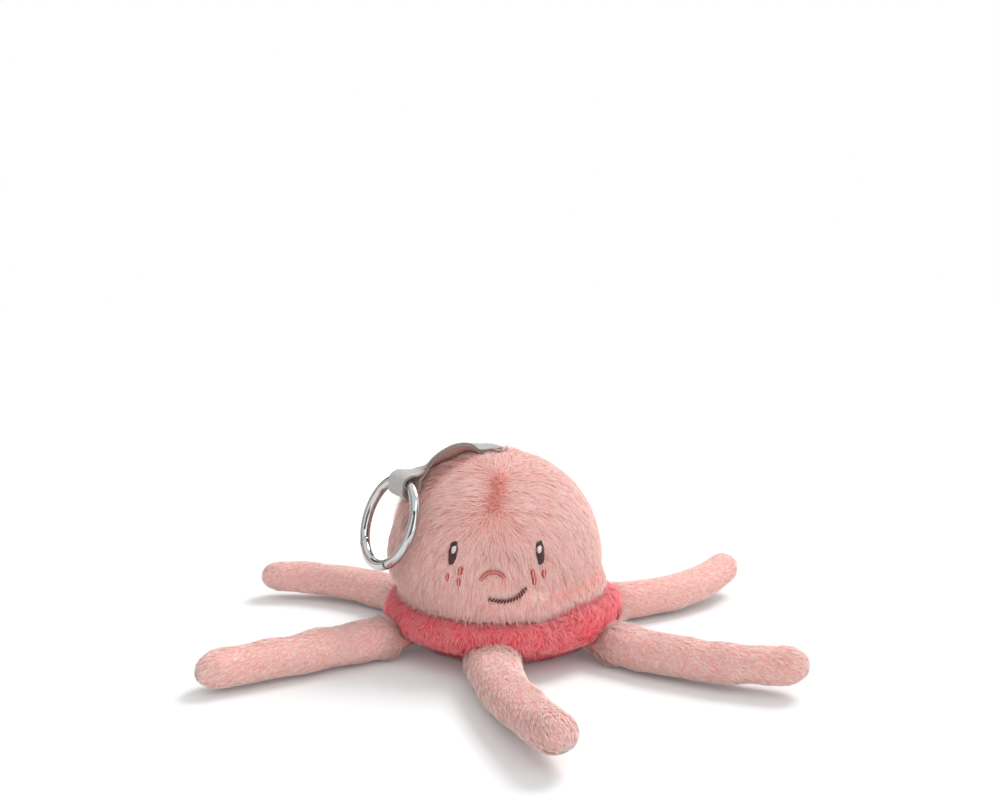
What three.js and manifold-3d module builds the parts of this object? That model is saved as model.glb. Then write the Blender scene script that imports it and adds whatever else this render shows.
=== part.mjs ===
// Plush jellyfish bag charm: a stuffed dome and band with six stuffed arms, and a
// spring gate ring on a twisted tape strap. Millimetres. Z is up, the floor is Z = 0,
// the face looks along -Y, and +X is the viewer's right.
import * as THREE from 'three';
import Module from 'manifold-3d';

// Fabric and clearances
const COVER = 1.4; // fabric with its backing
const SEAM_GAP = 0.3; // clearance between two sewn pieces
const SEAM_FLANGE = 1.6; // seam allowance that turns inwards at each edge

// Dome
const DOME_RADIUS = 40.5;
const DOME_SIDE = 14.15; // straight side below the dome's round top
const DOME_TUCK = 1.3; // how much the side draws in to its lower seam
const DOME_LEAN = 3.3; // the stuffed top leans to the viewer's left

// Band of coral pile round the dome's foot
const BAND_HEIGHT = 10.6;
const BAND_BULGE = 5.8;

// Base panel
const BASE_DEPTH = 5; // stuffed bowl under the seam
const FOOT_RADIUS = 22; // flat foot

// Arms
const ARM_LENGTH = 77; // seam to tip
const ARM_ROOT_WIDTH = 18.8;
const ARM_TIP_WIDTH = 12.4;
const ARM_HEIGHT = 14;
const ARM_TIP_HEIGHT = 12.2;
const ARM_SWELL = 14; // length over which an arm fills out from its flat root
const ARM_END = 9; // length of the rounded end
const ARM_SLIT = 0.5; // open mouth between the two layers of an arm's root
const ARM_SEAM_RISE = 1; // arm seam above the base's bowl
const ARM_FLOOR_GAP = 0.4;
// From the front arm on, in degrees: seam round the body, yaw past the swell and bend to the
// tip. Then the rise of the tip, as a share of the arm's height.
const ARM_POSES = [
  { seam: -5, yaw: 11, bend: 23, rise: 0.36 },
  { seam: 57, yaw: -14, bend: 38, rise: 0.25 },
  { seam: 113, yaw: -16, bend: 50, rise: 0.36 },
  { seam: 180, yaw: 4, bend: -12, rise: 0 },
  { seam: 238, yaw: -21, bend: 64, rise: 0.18 },
  { seam: 295, yaw: 8, bend: -4, rise: 0.04 },
];

// Face, placed by its angles on the dome in degrees
const THREAD_LIFT = 0.9; // thickness of the satin stitches
const EYE_WIDTH = 3.9;
const EYE_HEIGHT = 8.2;
const FACE_TURN = 1; // degrees to the viewer's right
const EYE_AZIMUTH = 23;
const EYE_ELEVATION = 14.6;
const GLINT_WIDTH = 1.7;
const GLINT_HEIGHT = 2.5;
const GLINT_RISE = 1.5; // above the eye's centre
const GLINT_SHIFT = 0.35;
const CHEEK_WIDTH = 1.3;
const CHEEK_HEIGHT = 2.5;
const CHEEK_SPOTS = [
  [-23.8, 2.8, 12],
  [-17, 6.6, 8],
  [-18, 0.9, 10],
  [19.1, 5, -14],
  [20.1, 0.9, 4],
  [25.5, 4.3, 10],
];
const NOSE_WIDTH = 1.5;
const NOSE_ARC = [[-6.7, 3.4], [-4, 6.4], [-0.9, 7.4], [2.2, 6.9], [4.6, 4.7]];
const MOUTH_WIDTH = 1.4;
const MOUTH_ARC = [[-2.2, -6.3], [2.4, -7.9], [6.6, -8], [11.2, -5.6], [15.3, -1.8]];

// Spring gate ring
const RING_BORE = 28.5; // inside diameter
const RING_WIRE = 3.8;
const RING_PLACE = [-65.1, 21.9]; // of its centre beside the dome, in degrees round and up
const RING_STANDOFF = 5.6; // from the dome's fabric to the ring's centre
const RING_FACING = 55; // degrees from the front towards the viewer's left
const RING_LEAN = 21; // degrees that its top leans to the dome
const GATE_HINGE = 148; // degrees round the ring from its top
const GATE_SPAN = 77;
const PIN_DIAMETER = 1.1;
const PIN_CLEARANCE = 0.08;
const CHEEK_THICKNESS = 1.05; // each side of the fork that holds the gate's tongue
const TONGUE_CLEARANCE = 0.12;
const GATE_GAP = 0.3;
const LIP_LENGTH = 1.3; // step where the gate's nose meets the ring
const SPRING_DIAMETER = 1.25; // gate spring, outside
const SPRING_WIRE = 0.22;
const SPRING_LENGTH = 2.7;
const SPRING_CURLS = 3;

// Tape strap
const TAPE_WIDTH = 10;
const TAPE_THICKNESS = 0.8;
const TAPE_GAP = 0.5; // between the two layers
const LOOP_ANGLE = 6; // where the loop holds the ring, degrees from the ring's top
const LOOP_SKEW = 7;   // degrees that the tape is turned across the wire
// The loop hangs round the wire: the tape's middle as [out, up, along the wire] from the wire's
// centre, as shares of the wire's radius and half the tape's thickness together
const LOOP_ROUTE = [
  [-1.05, 1.12, -0.1], [0.13, 1.18, 0], [1.28, 0.6, 0], [1.55, -0.6, 0], [1.4, -1.83, 0],
  [0.17, -2.6, 0], [-1.15, -2.04, 0], [-1.6, -0.96, 0], [-1.8, 0.09, -0.13],
];
const STRAP_SEAM = [1.2, 2.2]; // degrees from the crown, to the right and to the back
// Crown end first: the strap's centre over the dome in degrees round and up, its height above
// the fabric as a share of the tape's width, and the direction of its front edge
const STRAP_ROUTE = [
  { round: -74.0, up: 79.6, rise: 0.205, edge: [0, -1, -0.1] },
  { round: -69.3, up: 74.2, rise: 0.32, edge: [0, -0.93, 0.36] },
  { round: -67.7, up: 67.7, rise: 0.395, edge: [0.05, -0.8, 0.6] },
  { round: -68.5, up: 60.8, rise: 0.435, edge: [0.12, -0.83, 0.54] },
  { round: -68.9, up: 55.0, rise: 0.465, edge: [0.25, -0.83, 0.42] },
  { round: -68.4, up: 50.0, rise: 0.52, edge: [0.45, -0.85, 0.12] },
];

const PINK = 0xe3aea6;
const ARM_PINK = 0xe6b6ac;
const CORAL = 0xe4666c;
const WHITE_FIBRE = 0xf2efea;
const EYE_THREAD = 0x4a3236;
const GLINT_THREAD = 0xe9e2e0;
const RED_THREAD = 0xc4544e;
const TAPE_GREY = 0x9c9490;
const CHROME = 0xd9dcde;

// Sizes that follow from the ones above
const SEAM_RADIUS = DOME_RADIUS - DOME_TUCK;
const ROOT_ROUND = COVER + ARM_SLIT / 2;
const ARM_SEAM_RADIUS = SEAM_RADIUS + SEAM_GAP + ROOT_ROUND;
const ARM_SEAM_HEIGHT = BASE_DEPTH + ARM_SEAM_RISE;
const BAND_BOTTOM = ARM_SEAM_HEIGHT + ROOT_ROUND + SEAM_GAP;
const BAND_TOP = BAND_BOTTOM + BAND_HEIGHT;
const DOME_BOTTOM = BAND_TOP + SEAM_GAP;
const DOME_HEIGHT = DOME_BOTTOM + DOME_SIDE;
const WIRE_RADIUS = RING_WIRE / 2;
const RING_RADIUS = (RING_BORE + RING_WIRE) / 2;

const wasm = await Module();
wasm.setup();
const { Manifold, Mesh } = wasm;
const rad = THREE.MathUtils.degToRad;
const charm = new THREE.Group();
charm.name = 'jellyfish_bag_charm';

function smooth(t) {
  const u = THREE.MathUtils.clamp(t, 0, 1);
  return u * u * (3 - 2 * u);
}

// A solid from its triangles, with shared corners merged and empty faces dropped
function welded(triangles) {
  const seen = new Map();
  const points = [];
  const faces = [];
  for (let i = 0; i < triangles.length; i += 3) {
    const face = [0, 1, 2].map((k) => {
      const p = triangles[i + k];
      const key = [p.x, p.y, p.z].map((v) => Math.round(v * 2000)).join();
      if (!seen.has(key)) {
        seen.set(key, points.length);
        points.push(p.clone());
      }
      return seen.get(key);
    });
    if (new Set(face).size === 3) faces.push(face);
  }
  let volume = 0;
  for (const [a, b, c] of faces) {
    volume += points[a].dot(points[b].clone().cross(points[c]));
  }
  const geometry = new THREE.BufferGeometry();
  const values = points.flatMap((p) => p.toArray());
  geometry.setAttribute('position', new THREE.Float32BufferAttribute(values, 3));
  geometry.setIndex(faces.flatMap(([a, b, c]) => (volume < 0 ? [a, c, b] : [a, b, c])));
  geometry.computeVertexNormals();
  return geometry;
}

function trianglesOf(geometry) {
  const { array } = (geometry.index ? geometry.toNonIndexed() : geometry).getAttribute('position');
  return Array.from({ length: array.length / 3 }, (_, i) => new THREE.Vector3().fromArray(array, i * 3));
}

// A skin over rings of points; a single point closes an end, and a closed skin joins last to first
function skin(rings, closed = false) {
  const triangles = [];
  const pairs = closed ? rings.length : rings.length - 1;
  for (let i = 0; i < pairs; i += 1) {
    const low = rings[i];
    const high = rings[(i + 1) % rings.length];
    const count = Math.max(low.length, high.length);
    for (let k = 0; k < count; k += 1) {
      const next = (k + 1) % count;
      const a = low[k % low.length];
      const b = low[next % low.length];
      const c = high[next % high.length];
      const d = high[k % high.length];
      if (low.length > 1) triangles.push(a, b, c);
      if (high.length > 1) triangles.push(a, c, d);
    }
  }
  return welded(triangles);
}

function centreOf(ring) {
  return ring.reduce((sum, p) => sum.add(p), new THREE.Vector3()).divideScalar(ring.length);
}

function toManifold(geometry) {
  const solid = welded(trianglesOf(geometry));
  const mesh = new Mesh({
    numProp: 3,
    vertProperties: Float32Array.from(solid.getAttribute('position').array),
    triVerts: Uint32Array.from(solid.index.array),
  });
  mesh.merge();
  return new Manifold(mesh);
}

function fromManifold(solid) {
  const mesh = solid.getMesh();
  const { vertProperties: values, numProp: step } = mesh;
  return welded(Array.from(mesh.triVerts, (v) => new THREE.Vector3().fromArray(values, v * step)));
}

function add(name, geometry, colour, roughness = 0.95, metalness = 0) {
  const material = new THREE.MeshStandardMaterial({ color: colour, roughness, metalness });
  material.name = name;
  const flat = geometry.toNonIndexed();
  flat.computeVertexNormals();
  const mesh = new THREE.Mesh(flat, material);
  mesh.name = name;
  charm.add(mesh);
  return mesh;
}

// A turned form about the body's axis, leaning with the dome above the band
function turned(profile, sides) {
  const geometry = new THREE.LatheGeometry(profile.map(([r, z]) => new THREE.Vector2(r, z)), sides);
  geometry.rotateX(Math.PI / 2);
  const corners = trianglesOf(geometry);
  for (const p of corners) p.x += leanAt(p.z);
  return welded(corners);
}

function leanAt(z) {
  return -DOME_LEAN * smooth((z - DOME_BOTTOM) / (DOME_HEIGHT - DOME_BOTTOM));
}

// Outlines of the body's three panels as [radius, height], moved in by inset
function domeOutline(inset, steps) {
  const outline = [];
  const side = 4;
  for (let i = 0; i < side; i += 1) {
    const drop = 1 - i / side;
    outline.push([DOME_RADIUS - inset - DOME_TUCK * drop ** 3, DOME_HEIGHT - DOME_SIDE * drop]);
  }
  for (let i = 0; i <= steps; i += 1) {
    const angle = (Math.PI / 2) * (i / steps);
    const radius = DOME_RADIUS - inset;
    outline.push([i === steps ? 0 : radius * Math.cos(angle), DOME_HEIGHT + radius * Math.sin(angle)]);
  }
  return outline;
}

function bandOutline(inset, steps) {
  const middle = BAND_BOTTOM + BAND_HEIGHT / 2;
  return Array.from({ length: steps + 1 }, (_, i) => {
    const angle = Math.PI * (i / steps - 0.5);
    const out = (BAND_BULGE - inset) * Math.cos(angle);
    return [SEAM_RADIUS + out, middle + (BAND_HEIGHT / 2 - inset) * Math.sin(angle)];
  });
}

function baseOutline(inset, steps) {
  const outline = [[0, inset]];
  for (let i = 0; i <= steps; i += 1) {
    const angle = (Math.PI / 2) * (i / steps);
    const out = (SEAM_RADIUS - FOOT_RADIUS - inset) * Math.sin(angle);
    outline.push([FOOT_RADIUS + out, BASE_DEPTH - (BASE_DEPTH - inset) * Math.cos(angle)]);
  }
  return outline;
}

// Panels of fabric, each open where the next one is sewn on, and the filling inside them
function addBody() {
  const flange = SEAM_RADIUS - SEAM_FLANGE;
  const domeOut = domeOutline(0, 9);
  const domeIn = domeOutline(COVER, 9);
  add('dome_cover', turned([...domeOut, ...domeIn.reverse(), domeOut[0]], 32), PINK);

  const bandOut = bandOutline(0, 8);
  const bandIn = bandOutline(COVER, 6);
  const bandLoop = [
    [flange, BAND_BOTTOM],
    ...bandOut,
    [flange, BAND_TOP],
    [flange, BAND_TOP - COVER],
    ...bandIn.reverse(),
    [flange, BAND_BOTTOM + COVER],
    [flange, BAND_BOTTOM],
  ];
  add('band_cover', turned(bandLoop, 36), CORAL);

  const rimTop = BAND_BOTTOM - SEAM_GAP;
  const baseLoop = [
    ...baseOutline(0, 4),
    [SEAM_RADIUS, rimTop],
    [SEAM_RADIUS - COVER, rimTop],
    ...baseOutline(COVER, 3).reverse(),
  ];
  add('base_panel', turned(baseLoop, 36), CORAL);

  const fill = COVER + SEAM_GAP;
  const waist = flange - SEAM_GAP;
  const fillLoop = [
    ...baseOutline(fill, 3),
    [waist, rimTop],
    [waist, BAND_BOTTOM + fill],
    ...bandOutline(fill, 5),
    [waist, BAND_TOP - fill],
    [waist, DOME_BOTTOM],
    ...domeOutline(fill, 6),
  ];
  add('body_stuffing', turned(fillLoop, 20), WHITE_FIBRE);
}

// Half width and half height of an arm, a distance along it, moved in by inset
function armHalves(along, inset) {
  const share = THREE.MathUtils.clamp(along / (ARM_LENGTH - ARM_END), 0, 1);
  const full = THREE.MathUtils.lerp(ARM_HEIGHT, ARM_TIP_HEIGHT, share) / 2;
  let width = THREE.MathUtils.lerp(ARM_ROOT_WIDTH, ARM_TIP_WIDTH, share) / 2 - inset;
  let height = THREE.MathUtils.lerp(ROOT_ROUND, full, smooth(along / ARM_SWELL)) - inset;
  if (along < 0) {
    height = Math.sqrt(Math.max(ROOT_ROUND ** 2 - along ** 2, 0)) - inset;
    width -= ROOT_ROUND - Math.sqrt(Math.max(ROOT_ROUND ** 2 - along ** 2, 0));
  }
  const past = (along - (ARM_LENGTH - ARM_END)) / (ARM_END - inset);
  const end = past > 0 ? Math.sqrt(Math.max(1 - past ** 2, 0)) : 1;
  return [width * end, Math.max(height, ARM_SLIT / 2) * end];
}

// Centre line of an arm over its seam, as a point and a heading for a distance along it
function armLine(index) {
  const { seam, yaw, bend, rise } = ARM_POSES[index];
  const azimuth = rad(seam);
  const root = new THREE.Vector3(Math.sin(azimuth), -Math.cos(azimuth), 0).multiplyScalar(ARM_SEAM_RADIUS);
  const headingAt = (along) => {
    const turn = yaw * smooth(along / ARM_SWELL) + (bend * Math.max(along, 0)) / ARM_LENGTH;
    return azimuth + rad(turn);
  };
  return (along) => {
    const point = root.clone();
    const steps = 40;
    for (let i = 0; i < steps; i += 1) {
      const heading = headingAt((along * (i + 0.5)) / steps);
      point.x += (Math.sin(heading) * along) / steps;
      point.y -= (Math.cos(heading) * along) / steps;
    }
    const settle = smooth(along / ARM_SWELL);
    const lift = rise * ARM_HEIGHT * Math.max((along - ARM_SWELL) / (ARM_LENGTH - ARM_SWELL), 0) ** 2;
    point.z = THREE.MathUtils.lerp(ARM_SEAM_HEIGHT, ARM_FLOOR_GAP + ARM_HEIGHT / 2, settle) + lift;
    return { point, heading: headingAt(along) };
  };
}

function armRing(line, along, inset, sides) {
  const { point, heading } = line(along);
  const [width, height] = armHalves(along, inset);
  const across = new THREE.Vector3(Math.cos(heading), Math.sin(heading), 0);
  return Array.from({ length: sides }, (_, k) => {
    const angle = (2 * Math.PI * (k + 0.5)) / sides;
    const fullness = (v) => Math.sign(v) * Math.abs(v) ** 0.88;
    const ring = point.clone().addScaledVector(across, width * fullness(Math.cos(angle)));
    ring.z += height * fullness(Math.sin(angle));
    return ring;
  });
}

function armStations(inset, from) {
  const round = ARM_LENGTH - ARM_END;
  const stations = [0.3, 0.6, 1].map((t) => ARM_SWELL * t);
  stations.push(ARM_SWELL + (round - ARM_SWELL) / 3, ARM_SWELL + ((round - ARM_SWELL) * 2) / 3, round);
  for (const degrees of [32, 58, 77]) {
    stations.push(round + (ARM_END - inset) * Math.sin(rad(degrees)));
  }
  return stations.filter((s) => s > from);
}

function addArm(index) {
  const line = armLine(index);
  const sides = 12;
  const tip = (inset) => [line(ARM_LENGTH - inset).point];
  const roots = [-0.94, -0.6, 0].map((t) => t * ROOT_ROUND);
  const outer = [...roots, ...armStations(0, 0.1)].map((s) => armRing(line, s, 0, sides));
  const inner = [roots[0], ...armStations(COVER, 0.1)].map((s) => armRing(line, s, COVER, sides));
  add(`arm_cover_${index + 1}`, skin([...outer, tip(0), tip(COVER), ...inner.reverse()], true), ARM_PINK);

  const fill = COVER + SEAM_GAP;
  const start = ARM_SWELL * 0.5;
  const core = [start, ...armStations(fill, start)].map((s) => armRing(line, s, fill, 8));
  add(`arm_stuffing_${index + 1}`, skin([[centreOf(core[0])], ...core, tip(fill)]), WHITE_FIBRE);
}

// A point over the dome, from its angles round to the right and up, in degrees
function onDome(azimuth, elevation, above) {
  const out = new THREE.Vector3(
    Math.sin(rad(azimuth)) * Math.cos(rad(elevation)),
    -Math.cos(rad(azimuth)) * Math.cos(rad(elevation)),
    Math.sin(rad(elevation)),
  );
  return domeCentre().addScaledVector(out, DOME_RADIUS + above);
}

function domeCentre() {
  return new THREE.Vector3(-DOME_LEAN, 0, DOME_HEIGHT);
}

// Moves a point straight out of the dome until it is so far above the fabric
function lifted(point, above) {
  const centre = domeCentre();
  if (point.z >= centre.z) return point.sub(centre).setLength(DOME_RADIUS + above).add(centre);
  const drop = (centre.z - point.z) / DOME_SIDE;
  const axis = new THREE.Vector3(leanAt(point.z), 0, point.z);
  return point.sub(axis).setLength(DOME_RADIUS + above - DOME_TUCK * drop ** 3).add(axis);
}

// An oval pad of stitches that hugs the dome
function stitchPad(azimuth, elevation, width, height, roll = 0, thick = THREAD_LIFT, shift = [0, 0]) {
  const sides = 16;
  const middle = onDome(azimuth, elevation, 0);
  const out = middle.clone().sub(domeCentre()).normalize();
  const right = new THREE.Vector3(0, 0, 1).cross(out).normalize();
  const up = out.clone().cross(right);
  middle.addScaledVector(right, shift[0]).addScaledVector(up, shift[1]);
  const turn = rad(roll);
  const ring = (share, above) => Array.from({ length: sides }, (_, k) => {
    const angle = (2 * Math.PI * k) / sides;
    const x = (share * width * Math.cos(angle)) / 2;
    const y = (share * height * Math.sin(angle)) / 2;
    const point = middle.clone()
      .addScaledVector(right, x * Math.cos(turn) - y * Math.sin(turn))
      .addScaledVector(up, x * Math.sin(turn) + y * Math.cos(turn));
    return lifted(point, above);
  });
  const low = [0.5, 1].map((share) => ring(share, SEAM_GAP));
  const high = [1, 0.88, 0.45].map((share, i) => ring(share, SEAM_GAP + thick * [0.55, 0.9, 1][i]));
  return skin([[centreOf(low[0])], ...low, ...high, [centreOf(high[2])]]);
}

// A row of satin stitches along angles on the dome
function stitchRow(angles, width) {
  const curve = new THREE.CatmullRomCurve3(
    angles.map(([azimuth, elevation]) => lifted(onDome(azimuth, elevation, 0), SEAM_GAP)),
  );
  const steps = 12;
  const rings = Array.from({ length: steps + 1 }, (_, i) => {
    const base = lifted(curve.getPoint(i / steps), SEAM_GAP);
    const out = lifted(base.clone(), SEAM_GAP + 1).sub(base);
    const across = out.clone().cross(curve.getTangent(i / steps)).normalize();
    const taper = i === 0 || i === steps ? 0.6 : 1;
    return [[-1, 0], [-0.75, 0.8], [0, 1], [0.75, 0.8], [1, 0]].map(([x, y]) => {
      const point = base.clone().addScaledVector(across, (x * width * taper) / 2);
      return lifted(point, SEAM_GAP + y * taper * THREAD_LIFT);
    });
  });
  return skin([[centreOf(rings[0])], ...rings, [centreOf(rings[steps])]]);
}

function addFace() {
  for (const [side, sign] of [['left', -1], ['right', 1]]) {
    const azimuth = FACE_TURN + EYE_AZIMUTH * sign;
    const glintPad = (grow, thick) => stitchPad(
      azimuth, EYE_ELEVATION, GLINT_WIDTH + grow, GLINT_HEIGHT + grow, 0, thick,
      [-GLINT_SHIFT * sign, GLINT_RISE],
    );
    const eye = toManifold(stitchPad(azimuth, EYE_ELEVATION, EYE_WIDTH, EYE_HEIGHT));
    const seat = toManifold(glintPad(2 * PIN_CLEARANCE, THREAD_LIFT * 2));
    const out = onDome(azimuth, EYE_ELEVATION, 0).sub(domeCentre());
    const recess = seat.translate(out.setLength(THREAD_LIFT / 2).toArray());
    add(`eye_${side}`, fromManifold(eye.subtract(recess)), EYE_THREAD, 0.5);
    const glint = toManifold(glintPad(0, THREAD_LIFT));
    const raised = glint.translate(out.setLength(THREAD_LIFT / 2 + PIN_CLEARANCE).toArray());
    add(`eye_glint_${side}`, fromManifold(raised), GLINT_THREAD, 0.5);
  }
  CHEEK_SPOTS.forEach(([azimuth, elevation, roll], i) => {
    const spot = stitchPad(azimuth, elevation, CHEEK_WIDTH, CHEEK_HEIGHT, roll);
    add(`cheek_stitch_${i + 1}`, spot, RED_THREAD, 0.5);
  });
  add('nose_stitch', stitchRow(NOSE_ARC, NOSE_WIDTH), RED_THREAD, 0.5);
  add('mouth_stitch', stitchRow(MOUTH_ARC, MOUTH_WIDTH), EYE_THREAD, 0.5);
}

// The ring's own axes: X along it level, Y to its top, Z out of its face
function ringAxes() {
  const facing = rad(RING_FACING);
  const lean = rad(RING_LEAN);
  const face = new THREE.Vector3(
    -Math.sin(facing) * Math.cos(lean),
    -Math.cos(facing) * Math.cos(lean),
    Math.sin(lean),
  );
  const level = new THREE.Vector3(Math.cos(facing), -Math.sin(facing), 0);
  return new THREE.Matrix4().makeBasis(level, face.clone().cross(level), face).setPosition(onDome(...RING_PLACE, RING_STANDOFF));
}

// A point on the wire's centre line in the ring's own axes, by degrees from its top
function onRing(degrees) {
  return new THREE.Vector3(Math.sin(rad(degrees)), Math.cos(rad(degrees)), 0).multiplyScalar(RING_RADIUS);
}

function wireArc(from, to) {
  const start = Math.PI / 2 - rad(from);
  const curve = new THREE.Curve();
  curve.getPoint = (t) => {
    const angle = start - rad(to - from) * t;
    return new THREE.Vector3(RING_RADIUS * Math.cos(angle), RING_RADIUS * Math.sin(angle), 0);
  };
  const section = new THREE.Shape();
  section.absarc(0, 0, WIRE_RADIUS, 0, 2 * Math.PI, false);
  const steps = Math.ceil((to - from) / 7.5);
  return toManifold(new THREE.ExtrudeGeometry(section, {
    steps, curveSegments: 7, bevelEnabled: false, extrudePath: curve,
  }));
}

// A round bar along Z through a point
function barZ(radius, length, at, sides = 20) {
  const bar = new THREE.CylinderGeometry(radius, radius, length, sides);
  bar.rotateX(Math.PI / 2);
  bar.translate(at.x, at.y, 0);
  return toManifold(bar);
}

// A block with an outline in the plane of the ring, given by steps along and across
function block(origin, along, across, outline, thick) {
  const shape = new THREE.Shape(outline.map(([a, b]) => {
    const corner = origin.clone().addScaledVector(along, a).addScaledVector(across, b);
    return new THREE.Vector2(corner.x, corner.y);
  }));
  const solid = new THREE.ExtrudeGeometry(shape, { depth: thick, bevelEnabled: false });
  solid.translate(0, 0, -thick / 2);
  return toManifold(solid);
}

function placed(solid) {
  const geometry = fromManifold(solid);
  geometry.applyMatrix4(ringAxes());
  return welded(trianglesOf(geometry));
}

// The ring, its sprung gate on a pin in a fork, and the stepped nose where the gate closes
function addRing() {
  const nose = GATE_HINGE + GATE_SPAN;
  const pin = onRing(GATE_HINGE);
  const tip = onRing(nose);
  const chord = tip.clone().sub(pin).normalize();
  const outward = new THREE.Vector3(chord.y, -chord.x, 0);
  if (outward.dot(tip) < 0) outward.negate();
  const slot = RING_WIRE - 2 * CHEEK_THICKNESS;
  const tongue = slot - 2 * TONGUE_CLEARANCE;
  const knuckle = WIRE_RADIUS + GATE_GAP;

  const pinBall = new THREE.SphereGeometry(WIRE_RADIUS, 16, 10);
  pinBall.rotateX(Math.PI / 2);
  pinBall.translate(pin.x, pin.y, pin.z);
  const ball = toManifold(pinBall);
  const pinHole = barZ(PIN_DIAMETER / 2 + PIN_CLEARANCE, RING_WIRE * 2, pin);

  // Stepped cuts at the nose: the ring's lip lies outside the gate's
  const step = LIP_LENGTH / 2;
  const half = GATE_GAP / 2;
  const room = RING_WIRE * 2;
  const gateEnd = block(tip, chord, outward, [
    [-step - half, room], [-step - half, -half], [step - half, -half],
    [step - half, -room], [room, -room], [room, room],
  ], room);
  const bodyEnd = block(tip, chord, outward, [
    [step + half, -room], [step + half, half], [half - step, half],
    [half - step, room], [-room, room], [-room, -room],
  ], room);

  const towards = onRing(GATE_HINGE + 12).sub(pin).normalize();
  const backwards = onRing(GATE_HINGE - 12).sub(pin).normalize();
  const aside = new THREE.Vector3(-towards.y, towards.x, 0);
  const tongueRadius = WIRE_RADIUS - TONGUE_CLEARANCE;
  const neck = tongueRadius * 0.8;
  const link = [[0, -neck], [knuckle + 0.5, -neck], [knuckle + 0.5, neck], [0, neck]];
  const gate = wireArc(GATE_HINGE, nose + 8)
    .subtract(gateEnd)
    .subtract(barZ(knuckle, room, pin, 28))
    .add(barZ(tongueRadius, tongue, pin))
    .add(block(pin, towards, aside, link, tongue))
    .subtract(pinHole);

  const springFace = knuckle + GATE_GAP;
  const springBore = new THREE.CylinderGeometry(
    SPRING_DIAMETER / 2 + PIN_CLEARANCE, SPRING_DIAMETER / 2 + PIN_CLEARANCE, SPRING_LENGTH + 1, 14,
  );
  springBore.translate(0, (SPRING_LENGTH + 1) / 2, 0);
  const turn = new THREE.Matrix4().makeRotationFromQuaternion(
    new THREE.Quaternion().setFromUnitVectors(new THREE.Vector3(0, 1, 0), backwards),
  );
  turn.setPosition(pin.clone().addScaledVector(backwards, springFace - 1));
  springBore.applyMatrix4(turn);
  const mouth = [[0, -knuckle], [knuckle * 2, -knuckle], [knuckle * 2, knuckle], [0, knuckle]];
  const body = wireArc(nose - 8, 360 + GATE_HINGE)
    .subtract(bodyEnd)
    .add(ball)
    .subtract(barZ(knuckle, slot, pin, 28))
    .subtract(block(pin, towards, aside, mouth, slot))
    .subtract(toManifold(springBore))
    .subtract(pinHole);

  add('ring_body', placed(body), CHROME, 0.12, 1);
  add('ring_gate', placed(gate), CHROME, 0.12, 1);
  const pinLength = RING_WIRE - 2 * PIN_CLEARANCE;
  add('gate_pin', placed(barZ(PIN_DIAMETER / 2, pinLength, pin, 14)), CHROME, 0.2, 1);

  const spring = coil(SPRING_DIAMETER, SPRING_WIRE, SPRING_LENGTH, SPRING_CURLS);
  turn.setPosition(pin.clone().addScaledVector(backwards, knuckle));
  spring.applyMatrix4(turn);
  spring.applyMatrix4(ringAxes());
  add('gate_spring', welded(trianglesOf(spring)), CHROME, 0.3, 1);
}

// A wound spring along Y as one tube
function coil(diameter, wire, length, curls) {
  const radius = (diameter - wire) / 2;
  const steps = curls * 8;
  const rise = (length - 2 * wire) / steps;
  const rings = Array.from({ length: steps + 1 }, (_, i) => {
    const angle = (2 * Math.PI * i) / 8;
    const out = new THREE.Vector3(Math.cos(angle), 0, Math.sin(angle));
    const centre = out.clone().multiplyScalar(radius).setY(wire + rise * i);
    return Array.from({ length: 5 }, (_, k) => {
      const side = (2 * Math.PI * k) / 5;
      const point = centre.clone().addScaledVector(out, (wire / 2) * Math.cos(side));
      point.y += (wire / 2) * Math.sin(side);
      return point;
    });
  });
  console.log(`gate spring: least gap between curls ${(rise * 8 - wire).toFixed(2)} mm`);
  return skin([[centreOf(rings[0])], ...rings, [centreOf(rings[steps])]]);
}

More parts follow.
